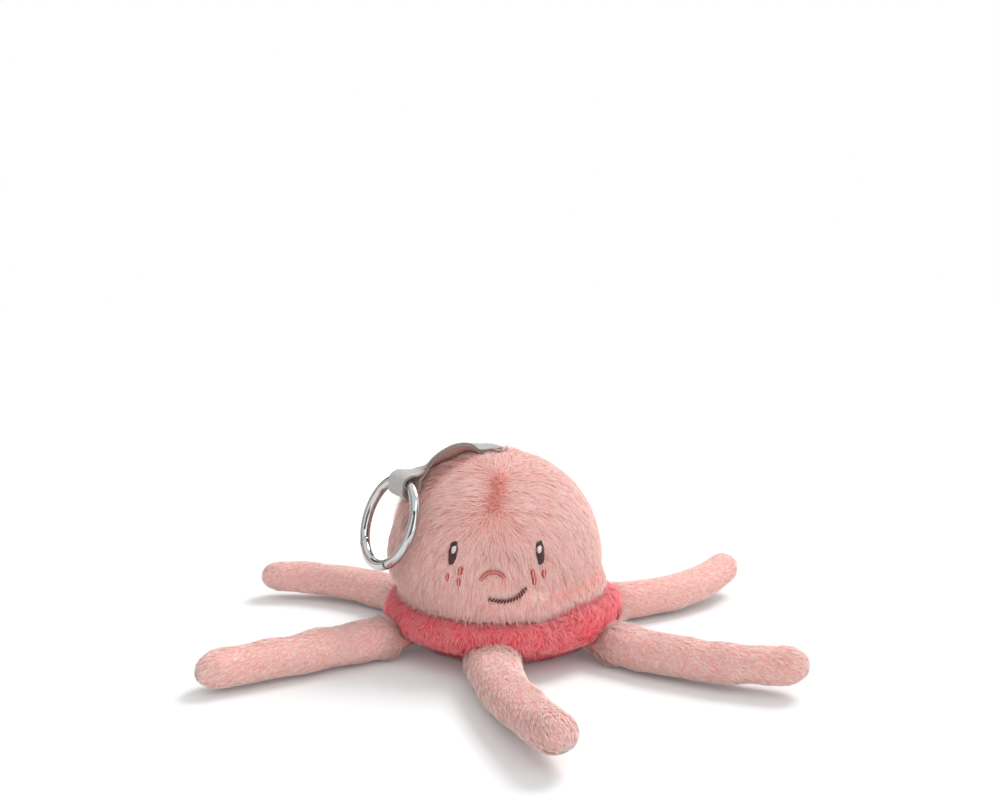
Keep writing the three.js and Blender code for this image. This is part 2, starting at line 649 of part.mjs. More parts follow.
// The strap is one tape, folded round the ring's wire, with both ends in the crown seam
function addStrap() {
  const axes = ringAxes();
  const wireAt = onRing(LOOP_ANGLE).applyMatrix4(axes);
  const front = new THREE.Vector3(Math.cos(rad(LOOP_ANGLE)), -Math.sin(rad(LOOP_ANGLE)), 0);
  front.transformDirection(axes).applyAxisAngle(new THREE.Vector3(0, 0, 1), rad(LOOP_SKEW));
  const layer = (TAPE_THICKNESS + TAPE_GAP) / 2;

  const [right, back] = STRAP_SEAM.map((angle) => Math.sin(rad(angle)));
  const seamUp = new THREE.Vector3(right, back, 1).normalize();
  const seamLift = DOME_RADIUS + SEAM_GAP + layer + TAPE_THICKNESS / 2;
  const seam = domeCentre().addScaledVector(seamUp, seamLift);
  const route = STRAP_ROUTE.map(({ round, up, rise }) => onDome(round, up, rise * TAPE_WIDTH));
  const line = new THREE.CatmullRomCurve3([seam, ...route]);
  const level = seamUp.clone().cross(route[0].clone().sub(seam)).normalize();
  const edges = [level, ...STRAP_ROUTE.map(({ edge }) => new THREE.Vector3(...edge).normalize())];
  const edgeLine = new THREE.CatmullRomCurve3(edges);

  const steps = 24;
  const frames = [];
  for (let i = 0; i <= steps; i += 1) {
    const along = line.getTangent(i / steps);
    const edge = edgeLine.getPoint(i / steps);
    edge.addScaledVector(along, -edge.dot(along)).normalize();
    frames.push({ point: line.getPoint(i / steps), edge, face: along.clone().cross(edge).normalize() });
  }
  const layers = [layer, -layer].map((lift) => frames.map(({ point, edge, face }) => (
    { point: point.clone().addScaledVector(face, lift), edge, face: face.clone().multiplyScalar(Math.sign(lift)) }
  )));

  // The loop, from the end of the outer layer round to the end of the inner one
  const out = new THREE.Vector3().crossVectors(front, new THREE.Vector3(0, 0, 1)).normalize();
  if (out.dot(wireAt.clone().sub(domeCentre())) < 0) out.negate();
  const up = new THREE.Vector3().crossVectors(out, front).normalize();
  if (up.z < 0) up.negate();
  const size = WIRE_RADIUS + TAPE_THICKNESS / 2;
  const round = LOOP_ROUTE.map(([x, y, z]) => wireAt.clone()
    .addScaledVector(out, x * size).addScaledVector(up, y * size).addScaledVector(front, z * size));
  const [outer, inner] = layers.map((side) => [side[steps - 3].point, side[steps].point]);
  const loop = new THREE.CatmullRomCurve3([...outer, ...round, ...inner.reverse()]);
  const segments = round.length + 3;
  const loopSteps = 26;
  const turned = [];
  for (let i = 1; i < loopSteps; i += 1) {
    const at = THREE.MathUtils.lerp(1 / segments, 1 - 1 / segments, i / loopSteps);
    const along = loop.getTangent(at);
    const share = smooth(Math.min(i, loopSteps - i) / 5);
    const edge = frames[steps].edge.clone().lerp(front, share);
    edge.addScaledVector(along, -edge.dot(along)).normalize();
    turned.push({ point: loop.getPoint(at), edge, face: along.clone().cross(edge).normalize() });
  }
  const path = [...layers[0], ...turned, ...layers[1].reverse()];
  const half = [TAPE_WIDTH / 2, TAPE_THICKNESS / 2];
  const rings = path.map(({ point, edge, face }) => [[1, 1], [-1, 1], [-1, -1], [1, -1]].map(([x, y]) => (
    point.clone().addScaledVector(edge, x * half[0]).addScaledVector(face, y * half[1])
  )));
  const ends = [rings[0], rings[rings.length - 1]].map((ring) => [centreOf(ring)]);
  add('strap_tape', skin([ends[0], ...rings, ends[1]]), TAPE_GREY, 0.85);
}

addBody();
ARM_POSES.forEach((pose, i) => addArm(i));
addFace();
addRing();
addStrap();

export default charm;
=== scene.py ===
"""Plush jellyfish bag charm: the looks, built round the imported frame."""
import math

import bmesh
import bpy
import numpy as np
from bpy.props import FloatProperty, FloatVectorProperty, PointerProperty
from mathutils import Matrix, Vector
from mathutils.kdtree import KDTree


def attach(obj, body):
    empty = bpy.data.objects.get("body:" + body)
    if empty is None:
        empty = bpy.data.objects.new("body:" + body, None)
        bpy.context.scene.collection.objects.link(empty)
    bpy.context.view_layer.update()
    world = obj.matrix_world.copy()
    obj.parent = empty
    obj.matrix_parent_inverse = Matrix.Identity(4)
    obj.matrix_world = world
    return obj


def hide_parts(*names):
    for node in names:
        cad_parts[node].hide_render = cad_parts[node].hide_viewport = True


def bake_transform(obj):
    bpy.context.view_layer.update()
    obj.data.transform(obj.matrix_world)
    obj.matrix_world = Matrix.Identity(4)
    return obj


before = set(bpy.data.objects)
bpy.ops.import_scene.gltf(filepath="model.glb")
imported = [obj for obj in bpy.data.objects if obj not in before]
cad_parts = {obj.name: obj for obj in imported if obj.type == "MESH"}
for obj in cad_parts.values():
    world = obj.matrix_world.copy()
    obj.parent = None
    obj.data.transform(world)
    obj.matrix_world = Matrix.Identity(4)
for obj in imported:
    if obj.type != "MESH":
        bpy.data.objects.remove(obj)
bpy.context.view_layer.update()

bl_info = {
    "name": "Plush Jellyfish Charm",
    "version": (1, 0, 0),
    "blender": (4, 5, 0),
    "location": "View3D > Sidebar > Charm",
    "description": "Builds a plush jellyfish bag charm with its pile, stitches, strap and ring",
    "category": "Add Mesh",
}

MM = 0.001
TAU = 2 * math.pi
UP = np.array([0, 0, 1.0])
TINY = 1e-9


# Sizes and colours
def millimetres(name, default, description):
    return FloatProperty(
        name=name, description=description, default=default * MM, min=0, unit="LENGTH", precision=5
    )


def colour(name, default, description):
    return FloatVectorProperty(
        name=name, description=description, default=default, size=3, min=0, max=1, subtype="COLOR"
    )


def painted(red, green, blue):
    """A colour as it looks on screen, 0 to 255, as Blender's linear values."""
    values = [v / 255 for v in (red, green, blue)]
    return tuple(v / 12.92 if v < 0.04045 else ((v + 0.055) / 1.055) ** 2.4 for v in values)


class CharmSizes(bpy.types.PropertyGroup):
    """Sizes of the charm."""

    dome_radius: millimetres("Dome radius", 40.5, "Radius of the stuffed dome under its pile")
    dome_bottom: millimetres("Dome bottom", 18.85, "Height of the dome's lower seam")
    dome_side: millimetres("Dome side", 14.15, "Straight side below the dome's round top")
    dome_tuck: millimetres("Dome tuck", 1.3, "How far the side draws in to the lower seam")
    dome_lean: millimetres("Dome lean", 3.3, "How far the top leans to the viewer's left")
    dome_pile: millimetres("Dome pile", 8.0, "Length of the dome's hair")
    band_bottom: millimetres("Band bottom", 7.95, "Height of the band's lower seam")
    band_height: millimetres("Band height", 10.6, "Height of the coral band")
    band_bulge: millimetres("Band bulge", 5.8, "How far the band stands out")
    band_pile: millimetres("Band pile", 4.2, "Length of the band's hair")
    base_depth: millimetres("Base depth", 5.0, "Depth of the bowl under the seam")
    foot_radius: millimetres("Foot radius", 22.0, "Radius of the flat foot")
    arm_length: millimetres("Arm length", 77.0, "From the seam to the tip")
    arm_root_width: millimetres("Arm root width", 18.8, "Width of an arm at its seam")
    arm_tip_width: millimetres("Arm tip width", 12.4, "Width of an arm before its round end")
    arm_height: millimetres("Arm height", 14.0, "Height of an arm near its root")
    arm_tip_height: millimetres("Arm tip height", 12.2, "Height of an arm near its tip")
    arm_pile: millimetres("Arm pile", 2.9, "Length of the arms' hair")
    ring_bore: millimetres("Ring bore", 28.5, "Inside diameter of the ring")
    ring_wire: millimetres("Ring wire", 3.8, "Diameter of the ring's wire")
    tape_width: millimetres("Tape width", 10.0, "Width of the strap's tape")
    tape_thickness: millimetres("Tape thickness", 0.8, "Thickness of the strap's tape")
    thread: millimetres("Thread", 0.3, "Thickness of the embroidery thread")


class CharmColours(bpy.types.PropertyGroup):
    """Colours of the charm."""

    # The dome's root colour is the pile's own deeper pink, made darker and redder than the tips partly as
    # painted shade deep in the pile, where light through the hair turns redder
    dome_root: colour("Dome root", painted(228, 124, 112), "Foot of the dome's hair")
    dome_tip: colour("Dome tip", painted(253, 216, 208), "Tip of the dome's hair")
    coral_root: colour("Coral root", painted(242, 54, 68), "Foot of the band's hair")
    coral_tip: colour("Coral tip", painted(255, 152, 156), "Tip of the band's hair")
    arm_root: colour("Arm root", painted(244, 145, 133), "Foot of the arms' hair")
    arm_tip: colour("Arm tip", painted(255, 231, 224), "Tip of the arms' hair")
    dark_thread: colour("Dark thread", painted(84, 54, 58), "Eyes and mouth")
    pale_thread: colour("Pale thread", painted(226, 214, 210), "Glints in the eyes")
    red_thread: colour("Red thread", painted(184, 62, 60), "Cheeks and nose")
    # Painted light: the lighter middle of each red stitch, whose darker ends are painted shade
    red_lit_middle: colour("Red core", painted(228, 152, 140), "Middle of the cheek and nose stitches")
    tape: colour("Tape", painted(190, 188, 185), "Woven strap")
    # Painted shade: a dark line painted along the tape's edges
    tape_rim_shade: colour("Tape rim", painted(132, 116, 110), "Edges of the strap")
    # Painted shade: the return layer's brown stands for the tape's underside in shade, with the fur's pink
    # reflected in it
    return_layer_shade: colour("Tape lining", painted(198, 154, 145), "The tape's return layer")
    chrome: colour("Chrome", painted(206, 206, 207), "Plated ring and gate")


# Helpers for meshes
def clear_selection():
    if bpy.context.mode != "OBJECT":
        bpy.ops.object.mode_set(mode="OBJECT")
    bpy.ops.object.select_all(action="DESELECT")


def select_only(obj):
    clear_selection()
    obj.select_set(True)
    bpy.context.view_layer.objects.active = obj


def face_outwards(obj, merge=0.0):
    """Doubles merged up to a distance in metres, then a closed mesh's faces turned outwards."""
    select_only(obj)
    bpy.ops.object.mode_set(mode="EDIT")
    bpy.ops.mesh.select_all(action="SELECT")
    if merge:
        bpy.ops.mesh.remove_doubles(threshold=merge)
    bpy.ops.mesh.normals_make_consistent(inside=False)
    bpy.ops.object.mode_set(mode="OBJECT")


def joined_up(turns):
    """Shares of a turn, with the last one brought back to the first."""
    return turns % 1.0 * (turns < 0.99999)


def wrapped(name, columns, rows, place):
    """A closed skin: a grid whose columns go round and whose rows go from pole to pole."""
    clear_selection()
    bpy.ops.mesh.primitive_grid_add(x_subdivisions=columns, y_subdivisions=rows, size=1, calc_uvs=True)
    obj = bpy.context.object
    obj.name = obj.data.name = name
    grid = np.zeros(len(obj.data.vertices) * 3)
    obj.data.vertices.foreach_get("co", grid)
    u, v = grid.reshape(-1, 3)[:, 0] + 0.5, grid.reshape(-1, 3)[:, 1] + 0.5
    points = place(joined_up(u), v) * MM
    obj.data.vertices.foreach_set("co", points.astype(np.float32).ravel())
    obj.data.uv_layers[0].name = "OFBake"
    face_outwards(obj, merge=1e-6)
    bpy.ops.object.shade_smooth()
    obj.data.update()
    return obj


def mesh_from(name, points, faces, maps):
    """A mesh from points in millimetres, sets of equal faces, and a map for the corners of each."""
    mesh = bpy.data.meshes.new(name)
    mesh.vertices.add(len(points))
    mesh.vertices.foreach_set("co", (points * MM).astype(np.float32).ravel())
    mesh.loops.add(sum(len(f) * f.shape[1] for f in faces))
    corners = np.concatenate([f.ravel() for f in faces])
    mesh.loops.foreach_set("vertex_index", corners.astype(np.int32))
    sizes = np.concatenate([np.full(len(f), f.shape[1]) for f in faces])
    mesh.polygons.add(len(sizes))
    mesh.polygons.foreach_set("loop_start", (np.cumsum(sizes) - sizes).astype(np.int32))
    mesh.polygons.foreach_set("use_smooth", np.ones(len(sizes), bool))
    mesh.update(calc_edges=True)
    layer = mesh.uv_layers.new(name="OFBake")
    places = np.concatenate([m.reshape(-1, 2) for m in maps])
    layer.data.foreach_set("uv", places.astype(np.float32).ravel())
    obj = bpy.data.objects.new(name, mesh)
    bpy.context.scene.collection.objects.link(obj)
    return obj


def unit(vectors):
    return vectors / np.maximum(np.linalg.norm(vectors, axis=-1, keepdims=True), TINY)


def smooth(t):
    t = np.clip(t, 0, 1)
    return t * t * (3 - 2 * t)


def distances(points):
    """How far along a line each of its points lies."""
    return np.concatenate([[0], np.cumsum(np.linalg.norm(np.diff(points, axis=0), axis=1))])


def across_from(vectors, normals):
    """Vectors without what they have along the normals."""
    return vectors - (vectors * normals).sum(1, keepdims=True) * normals


def half_round(share):
    """Height of a half circle, from 0 at its rims, where the share is -1 and 1, to 1."""
    return np.sqrt(np.clip(1 - share**2, 0, 1))


def ripple(points, wavelength, seed):
    """Soft seeded noise from -1 to 1 over points in millimetres."""
    random = np.random.default_rng(seed)
    total = np.zeros(len(points))
    for _ in range(6):
        wave = unit(random.normal(size=3)) * TAU / (wavelength * random.uniform(0.7, 1.5))
        total += np.sin(points @ wave + random.uniform(0, TAU))
    return total / 3


# The body's forms

# The dome's hidden underside: radius and height over its lower seam
DOME_FLOOR = [(0, 2.2), (24, 1.9), (34, 1.0), (37.4, 0.1)]
DOME_HEM_STEP = 0.5
# How far the band and the base reach inwards from the seam
BAND_INSIDE = 5
BASE_RIM = [(2.0, 1.8), (3.2, 2.4), (8, 3)]
BASE_TURN = (2.6, 0.6)


def body_sizes():
    """The sizes in millimetres."""
    s = bpy.context.scene.charm_sizes
    return {key: getattr(s, key) / MM for key in CharmSizes.__annotations__}


def dome_centre(s):
    return np.array([-s["dome_lean"], 0, s["dome_bottom"] + s["dome_side"]])


def seam_radius(s):
    return s["dome_radius"] - s["dome_tuck"]


def lean_at(s, z):
    return -s["dome_lean"] * smooth((z - s["dome_bottom"]) / s["dome_side"])


def dome_radius_at(s, z):
    """Radius of the dome's side below its centre and of its round top above."""
    centre = s["dome_bottom"] + s["dome_side"]
    drop = np.clip((centre - z) / s["dome_side"], 0, 1)
    side = s["dome_radius"] - s["dome_tuck"] * drop**3
    top = np.sqrt(np.maximum(s["dome_radius"] ** 2 - np.maximum(z - centre, 0) ** 2, 0))
    return np.where(z > centre, top, side)


def round_body(radius, turn, height):
    """Points round the body, by turns from its front towards the viewer's right."""
    return np.stack([radius * np.sin(TAU * turn), -radius * np.cos(TAU * turn), height], 1)


def turned(s, name, outline, columns, rows, lumps):
    """A form turned about the body's axis from an outline of (radius, height) points."""
    outline = np.array(outline, float)
    steps = distances(outline)
    steps /= steps[-1]

    def place(u, v):
        radius = np.interp(v, steps, outline[:, 0])
        height = np.interp(v, steps, outline[:, 1])
        points = round_body(radius, u, height)
        soft = ripple(points, 26, 11) * lumps * np.clip(radius / 12, 0, 1)
        points[:, :2] *= (1 + soft / np.maximum(radius, 1))[:, None]
        points[:, 0] += lean_at(s, height)
        return points

    return wrapped(name, columns, rows, place)


def dome_form(s):
    low, high = s["dome_bottom"], s["dome_bottom"] + s["dome_side"]
    outline = [(radius, low + height) for radius, height in DOME_FLOOR]
    for z in np.linspace(low, high, 12):
        outline.append((float(dome_radius_at(s, z)) - (DOME_HEM_STEP if z == low else 0), z))
    for angle in np.linspace(0, math.pi / 2, 28)[1:]:
        outline.append((s["dome_radius"] * math.cos(angle), high + s["dome_radius"] * math.sin(angle)))
    outline[-1] = (0, outline[-1][1])
    return turned(s, "dome_plush", outline, 96, 72, 0.25)


def band_form(s):
    """A ring of its own, closed inside the body."""
    seam = seam_radius(s)
    middle = s["band_bottom"] + s["band_height"] / 2

    def place(u, v):
        around = TAU * joined_up(v)
        outward = np.cos(around)
        reach = np.where(outward > 0, s["band_bulge"] * outward, BAND_INSIDE * outward)
        radius = seam + reach
        points = round_body(radius, u, middle + (s["band_height"] / 2) * np.sin(around))
        soft = ripple(points, 18, 23) * 0.35 * (outward > 0) * outward
        points[:, :2] *= (1 + soft / radius)[:, None]
        return points

    return wrapped("band_plush", 112, 32, place)


def base_form(s):
    seam, foot, depth = seam_radius(s), s["foot_radius"], s["base_depth"]
    inset, rise = BASE_TURN
    outline = [(0, 0), (foot * 0.5, 0), (foot, 0)]
    for angle in np.linspace(0, math.pi / 2, 9)[1:]:
        radius = foot + (seam - inset - foot) * math.sin(angle)
        outline.append((radius, depth - depth * math.cos(angle) + rise * math.sin(angle)))
    outline += [(seam - inwards, depth + up) for inwards, up in BASE_RIM]
    return turned(s, "base_plush", [*outline, (0, depth + 3.2)], 96, 40, 0)


# Pile

SHORTEST_SHARE = 0.12
CUT_SHORT = 0.04
# How far hair stays above the floor
FLOOR_GAP = 0.12


def surface_samples(obj, per_mm2, random):
    """Points spread over a mesh by its area, with their normals, in millimetres."""
    mesh = obj.data
    mesh.calc_loop_triangles()
    corners = np.zeros(len(mesh.loop_triangles) * 3, np.int32)
    mesh.loop_triangles.foreach_get("vertices", corners)

    def at_corners(key):
        values = np.zeros(len(mesh.vertices) * 3)
        mesh.vertices.foreach_get(key, values)
        return values.reshape(-1, 3)[corners.reshape(-1, 3)]

    points, normals = at_corners("co") / MM, at_corners("normal")
    area = np.linalg.norm(np.cross(points[:, 1] - points[:, 0], points[:, 2] - points[:, 0]), axis=1) / 2
    count = int(area.sum() * per_mm2)
    which = np.searchsorted(np.cumsum(area) / area.sum(), random.random(count)).clip(0, len(area) - 1)
    a, b = random.random(count), random.random(count)
    over = a + b > 1
    a[over], b[over] = 1 - a[over], 1 - b[over]
    share = np.stack([1 - a - b, a, b], 1)[:, :, None]
    return (points[which] * share).sum(1), unit((normals[which] * share).sum(1))


def trimmed(stations, shares, clear):
    """Hair cut back to where it would run over stitches or a hem; what is too short is left out."""
    whole = np.stack(stations)
    each = np.arange(whole.shape[1])

    def at(t):
        index = np.clip(np.searchsorted(shares, t, side="right") - 1, 0, len(shares) - 2)
        share = ((t - shares[index]) / (shares[index + 1] - shares[index]))[:, None]
        return whole[index, each] * (1 - share) + whole[index + 1, each] * share

    reach = np.ones(len(each))
    for t in np.linspace(1, 0, 11):
        reach = np.where(clear(at(np.full(len(each), t))), reach, t - CUT_SHORT)
    kept = reach > SHORTEST_SHARE
    return [at(reach * t)[kept] for t in shares], kept


def nearest_locks(roots, look, random):
    """For each hair, the hair at the middle of its lock."""
    chosen = random.random(len(roots)) < look["locks_per_mm2"] / look["per_mm2"]
    centres = np.flatnonzero(chosen)
    tree = KDTree(len(centres))
    for i, centre in enumerate(centres):
        tree.insert(roots[centre], i)
    tree.balance()
    return np.array([centres[tree.find(p)[1]] for p in roots])


def hair_mesh(name, stations, shares, side, normals, tone, look, random):
    """Hairs as cones through their stations; the map has a hair's tone across and its length up."""
    count, levels = len(side), len(shares) - 1
    turn = random.uniform(-0.35, 0.35, count)
    widths = look["width"] * random.uniform(0.75, 1.25, count)
    across = side * np.cos(turn)[:, None] + normals * np.sin(turn)[:, None]
    over = normals * np.cos(turn)[:, None] - side * np.sin(turn)[:, None]
    shading = [unit(over + across * lean) for lean in (0.55, 0, -0.55)]
    rings, facing = [], []
    for p, t in zip(stations[:-1], shares[:-1]):
        thick = (widths / 2 * (1.0 if t < 0.5 else 0.85))[:, None]
        for x, y in ((1, -0.3), (0, 0.5), (-1, -0.3)):
            rings.append(p + across * thick * x + over * thick * y)
        facing += shading
    facing.append(over)
    points = np.stack(rings + [stations[-1]], 1)
    start = (np.arange(count) * points.shape[1])[:, None]
    spread = np.array([-0.003, 0, 0.003])

    def corner(k, t):
        return np.stack([tone + spread[k], np.full(count, look["pale"] + (1 - look["pale"]) * t)], 1)

    quads, quad_maps, caps, cap_maps = [], [], [], []
    for level in range(levels - 1):
        low, high = shares[level], shares[level + 1]
        foot = 3 * level
        for k, n in ((0, 1), (1, 2), (2, 0)):
            quads.append(start + np.array([foot + k, foot + n, foot + 3 + n, foot + 3 + k]))
            quad_maps.append(np.stack([corner(k, low), corner(n, low), corner(n, high), corner(k, high)], 1))
    last = 3 * (levels - 1)
    for k, n in ((0, 1), (1, 2), (2, 0)):
        caps.append(start + np.array([last + k, last + n, 3 * levels]))
        cap_maps.append(np.stack([corner(k, shares[-2]), corner(n, shares[-2]), corner(1, 1.0)], 1))
    caps.append(start + np.array([2, 1, 0]))
    cap_maps.append(np.stack([corner(2, 0), corner(1, 0), corner(0, 0)], 1))
    faces = [np.concatenate(quads), np.concatenate(caps)]
    maps = [np.concatenate(quad_maps), np.concatenate(cap_maps)]
    pile = mesh_from(name, points.reshape(-1, 3), faces, maps)
    facing = np.stack(facing, 1).reshape(-1, 3).astype(np.float32)
    pile.data.normals_split_custom_set_from_vertices(facing)
    return pile


def grow_pile(name, skin, look, flow, keep, clear=None, stand=None, drape=None):
    """Hair on a skin where keep has it, combed by flow, drawn into locks and cut back by clear."""
    random = np.random.default_rng(look["seed"])
    density = look["per_mm2"] * 1
    roots, normals = surface_samples(skin, density, random)
    held = keep(roots, normals)
    roots, normals = roots[held], normals[held]
    count = len(roots)
    comb = unit(across_from(flow(roots, normals), normals))
    swing = ripple(roots, look["lock"] * 4, look["seed"] + 1) * look["wave"]
    swing += random.normal(size=count) * look["fray"]
    comb = comb * np.cos(swing)[:, None] + np.cross(normals, comb) * np.sin(swing)[:, None]
    side = np.cross(normals, comb)
    length = look["length"] * random.uniform(0.72, 1.12, count)
    uneven = 1 + 0.25 * ripple(roots, look["lock"] * 3, look["seed"] + 2)
    rise = look["rise"] * random.uniform(0.65, 1.22, count) * uneven
    if stand is not None:
        factor = stand(roots)
        rise *= factor
        length *= factor**0.3
    lock = nearest_locks(roots, look, random)

    shares = np.array(look["stations"])
    stations = []
    for t in shares:
        lift = rise * (1 - (1 - t) ** 2) - (length * t) ** 2 / (2 * look["bend"])
        stations.append(roots + comb * (length * t)[:, None] + normals * lift[:, None])
    tips = stations[-1]
    draw = (tips[lock] - tips) * look["draw"]
    reach = np.linalg.norm(draw, axis=1, keepdims=True)
    draw *= np.minimum(1, look["lock"] / np.maximum(reach, 1e-6))
    stations = [p + draw * (t**1.6) for p, t in zip(stations, shares)]
    if drape is not None:
        stations = [drape(p) for p in stations]
    for p in stations:
        p[:, 2] = np.maximum(p[:, 2], FLOOR_GAP)
    if clear is not None:
        stations, kept = trimmed(stations, shares, clear)
        side, normals, lock = side[kept], normals[kept], lock[kept]
    tone = 0.5 + 0.17 * random.normal(size=len(side)) + look["mottle"] * np.sin(lock * 12.9898)
    return hair_mesh(name, stations, shares, side, normals, np.clip(tone, 0.02, 0.98), look, random)


# Materials
COLOUR_SOCKET = "NodeSocketColor"
VALUE_SOCKET = "NodeSocketFloat"
NORMAL_SOCKET = "NodeSocketVector"


def add_node(tree, kind, settings=None, values=None):
    node = tree.nodes.new(kind)
    for key, value in (settings or {}).items():
        setattr(node, key, value)
    for key, value in (values or {}).items():
        node.inputs[key].default_value = value
    return node


def link_all(tree, *links):
    """Links nodes: each link is a node, its output, the node that it feeds and that one's input."""
    for source, output, target, entry in links:
        tree.links.new(source.outputs[output], target.inputs[entry])


def shared_group(name, inputs, outputs, fill):
    """A node group that is built once: its sockets, and the nodes that fill puts between them."""
    if name in bpy.data.node_groups:
        return bpy.data.node_groups[name]
    tree = bpy.data.node_groups.new(name, "ShaderNodeTree")
    for label, kind in inputs:
        tree.interface.new_socket(name=label, in_out="INPUT", socket_type=kind)
    for label, kind in outputs:
        tree.interface.new_socket(name=label, in_out="OUTPUT", socket_type=kind)
    fill(tree, tree.nodes.new("NodeGroupInput"), tree.nodes.new("NodeGroupOutput"))
    return tree


def ramp(tree, *stops):
    """A ramp of greys from (position, grey) stops."""
    node = tree.nodes.new("ShaderNodeValToRGB")
    elements = node.color_ramp.elements
    for element, (position, grey) in zip(elements, (stops[0], stops[-1])):
        element.position, element.color = position, (grey, grey, grey, 1)
    for position, grey in stops[1:-1]:
        elements.new(position).color = (grey, grey, grey, 1)
    return node


def mixer(tree, first=None, second=None):
    """A node that mixes two colours; one that is left out is linked."""
    values = {key: (*value, 1) for key, value in (("A", first), ("B", second)) if value is not None}
    return add_node(tree, "ShaderNodeMix", {"data_type": "RGBA"}, values)


def fill_hair(tree, given, out):
    """A hair's colour from its map, which has the hair's tone across and its length up."""
    place = add_node(tree, "ShaderNodeUVMap", {"uv_map": "OFBake"})
    split = add_node(tree, "ShaderNodeSeparateXYZ")
    along = ramp(tree, (0.0, 0), (0.35, 0.42), (0.75, 0.86), (1.0, 1))
    mix = mixer(tree)
    tone = add_node(tree, "ShaderNodeMapRange", values={"To Min": -1.0, "To Max": 1.0})
    shift = add_node(tree, "ShaderNodeMath", {"operation": "MULTIPLY_ADD", "use_clamp": True})
    link_all(
        tree,
        (place, "UV", split, 0), (split, "Y", along, 0), (split, "X", tone, 0), (tone, 0, shift, 0),
        (given, "Paling", shift, 1), (along, "Color", shift, 2), (shift, 0, mix, "Factor"),
        (given, "Root", mix, "A"), (given, "Tip", mix, "B"), (mix, "Result", out, "Color"),
    )


def fill_nap(tree, given, out):
    """Cloth under pile: short streaks of nap in colour and in relief."""
    where = add_node(tree, "ShaderNodeTexCoord")
    fine = add_node(tree, "ShaderNodeTexNoise", values={"Scale": 1400.0, "Detail": 4.0})
    broad = add_node(tree, "ShaderNodeTexNoise", values={"Scale": 120.0, "Detail": 3.0})
    both = add_node(tree, "ShaderNodeMath", {"operation": "MULTIPLY_ADD"}, {1: 0.45})
    mix = mixer(tree)
    bump = add_node(tree, "ShaderNodeBump", values={"Strength": 0.7, "Distance": 0.0006})
    link_all(
        tree,
        (where, "Object", fine, "Vector"), (where, "Object", broad, "Vector"), (fine, 0, both, 0),
        (broad, 0, both, 2), (both, 0, mix, "Factor"), (given, "Deep", mix, "A"), (given, "Pale", mix, "B"),
        (mix, "Result", out, "Color"), (fine, 0, bump, "Height"), (bump, 0, out, "Normal"),
    )


def fill_fibre(tree, given, out):
    """Twisted fibre: its dark and light strands, and their relief."""
    where = add_node(tree, "ShaderNodeTexCoord")
    noise = add_node(tree, "ShaderNodeTexNoise", values={"Scale": 2600.0, "Detail": 2.0})
    mix = mixer(tree)
    stretch = add_node(tree, "ShaderNodeMapRange", values={"From Min": 0.3, "From Max": 0.6})
    bump = add_node(tree, "ShaderNodeBump", values={"Strength": 0.4, "Distance": 0.00008})
    link_all(
        tree,
        (where, "Object", noise, "Vector"), (noise, 0, stretch, 0), (stretch, 0, mix, "Factor"),
        (given, "Deep", mix, "A"), (given, "Pale", mix, "B"), (mix, "Result", out, "Color"),
        (noise, 0, bump, "Height"), (bump, 0, out, "Normal"),
    )


def place_group(tree, name, fill, inputs, outputs, values):
    """A shared group's node in a material, with that material's own values."""
    inner = shared_group(name, inputs, outputs, fill)
    return add_node(tree, "ShaderNodeGroup", {"node_tree": inner}, values)


def cloth_group(tree, name, fill, deep, pale):
    sockets = [("Deep", COLOUR_SOCKET), ("Pale", COLOUR_SOCKET)]
    outputs = [("Color", COLOUR_SOCKET), ("Normal", NORMAL_SOCKET)]
    return place_group(tree, name, fill, sockets, outputs, {"Deep": (*deep, 1), "Pale": (*pale, 1)})


def new_material(name, roughness, metallic=0.0, sheen=0.0, sheen_tint=None, specular=0.5):
    material = bpy.data.materials.new(name)
    material.use_nodes = True
    shader = material.node_tree.nodes["Principled BSDF"]
    shader.inputs["Roughness"].default_value = roughness
    shader.inputs["Metallic"].default_value = metallic
    shader.inputs["Specular IOR Level"].default_value = specular
    shader.inputs["Sheen Weight"].default_value = sheen
    if sheen_tint:
        shader.inputs["Sheen Tint"].default_value = (*sheen_tint, 1)
    return material, material.node_tree, shader


def hair_material(name, root, tip, sheen, paling=0.14):
    tint = [0.5 + v / 2 for v in tip]
    material, tree, shader = new_material(name, 0.75, sheen=sheen, sheen_tint=tint, specular=0.25)
    sockets = [("Root", COLOUR_SOCKET), ("Tip", COLOUR_SOCKET), ("Paling", VALUE_SOCKET)]
    values = {"Root": (*root, 1), "Tip": (*tip, 1), "Paling": paling}
    hair = place_group(tree, "Hair colour", fill_hair, sockets, [("Color", COLOUR_SOCKET)], values)
    link_all(tree, (hair, "Color", shader, "Base Color"))
    return material


def backing_material(name, root, tip):
    """The cloth that the pile grows from."""
    material, tree, shader = new_material(name, 0.9, sheen=0.2, sheen_tint=tip, specular=0.2)
    pale = [r + (t - r) * 0.55 for r, t in zip(root, tip)]
    nap = cloth_group(tree, "Nap", fill_nap, root, pale)
    link_all(tree, (nap, "Color", shader, "Base Color"), (nap, "Normal", shader, "Normal"))
    return material


def finish(obj, body, material, slot, *replaced):
    """The piece's material, the body that it rides on, and the nodes that it stands for, which are hidden;
    the slot is not used.
    """
    obj.data.materials.clear()
    obj.data.materials.append(material)
    if body:
        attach(obj, body)
    if replaced:
        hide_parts(*replaced)
    return obj


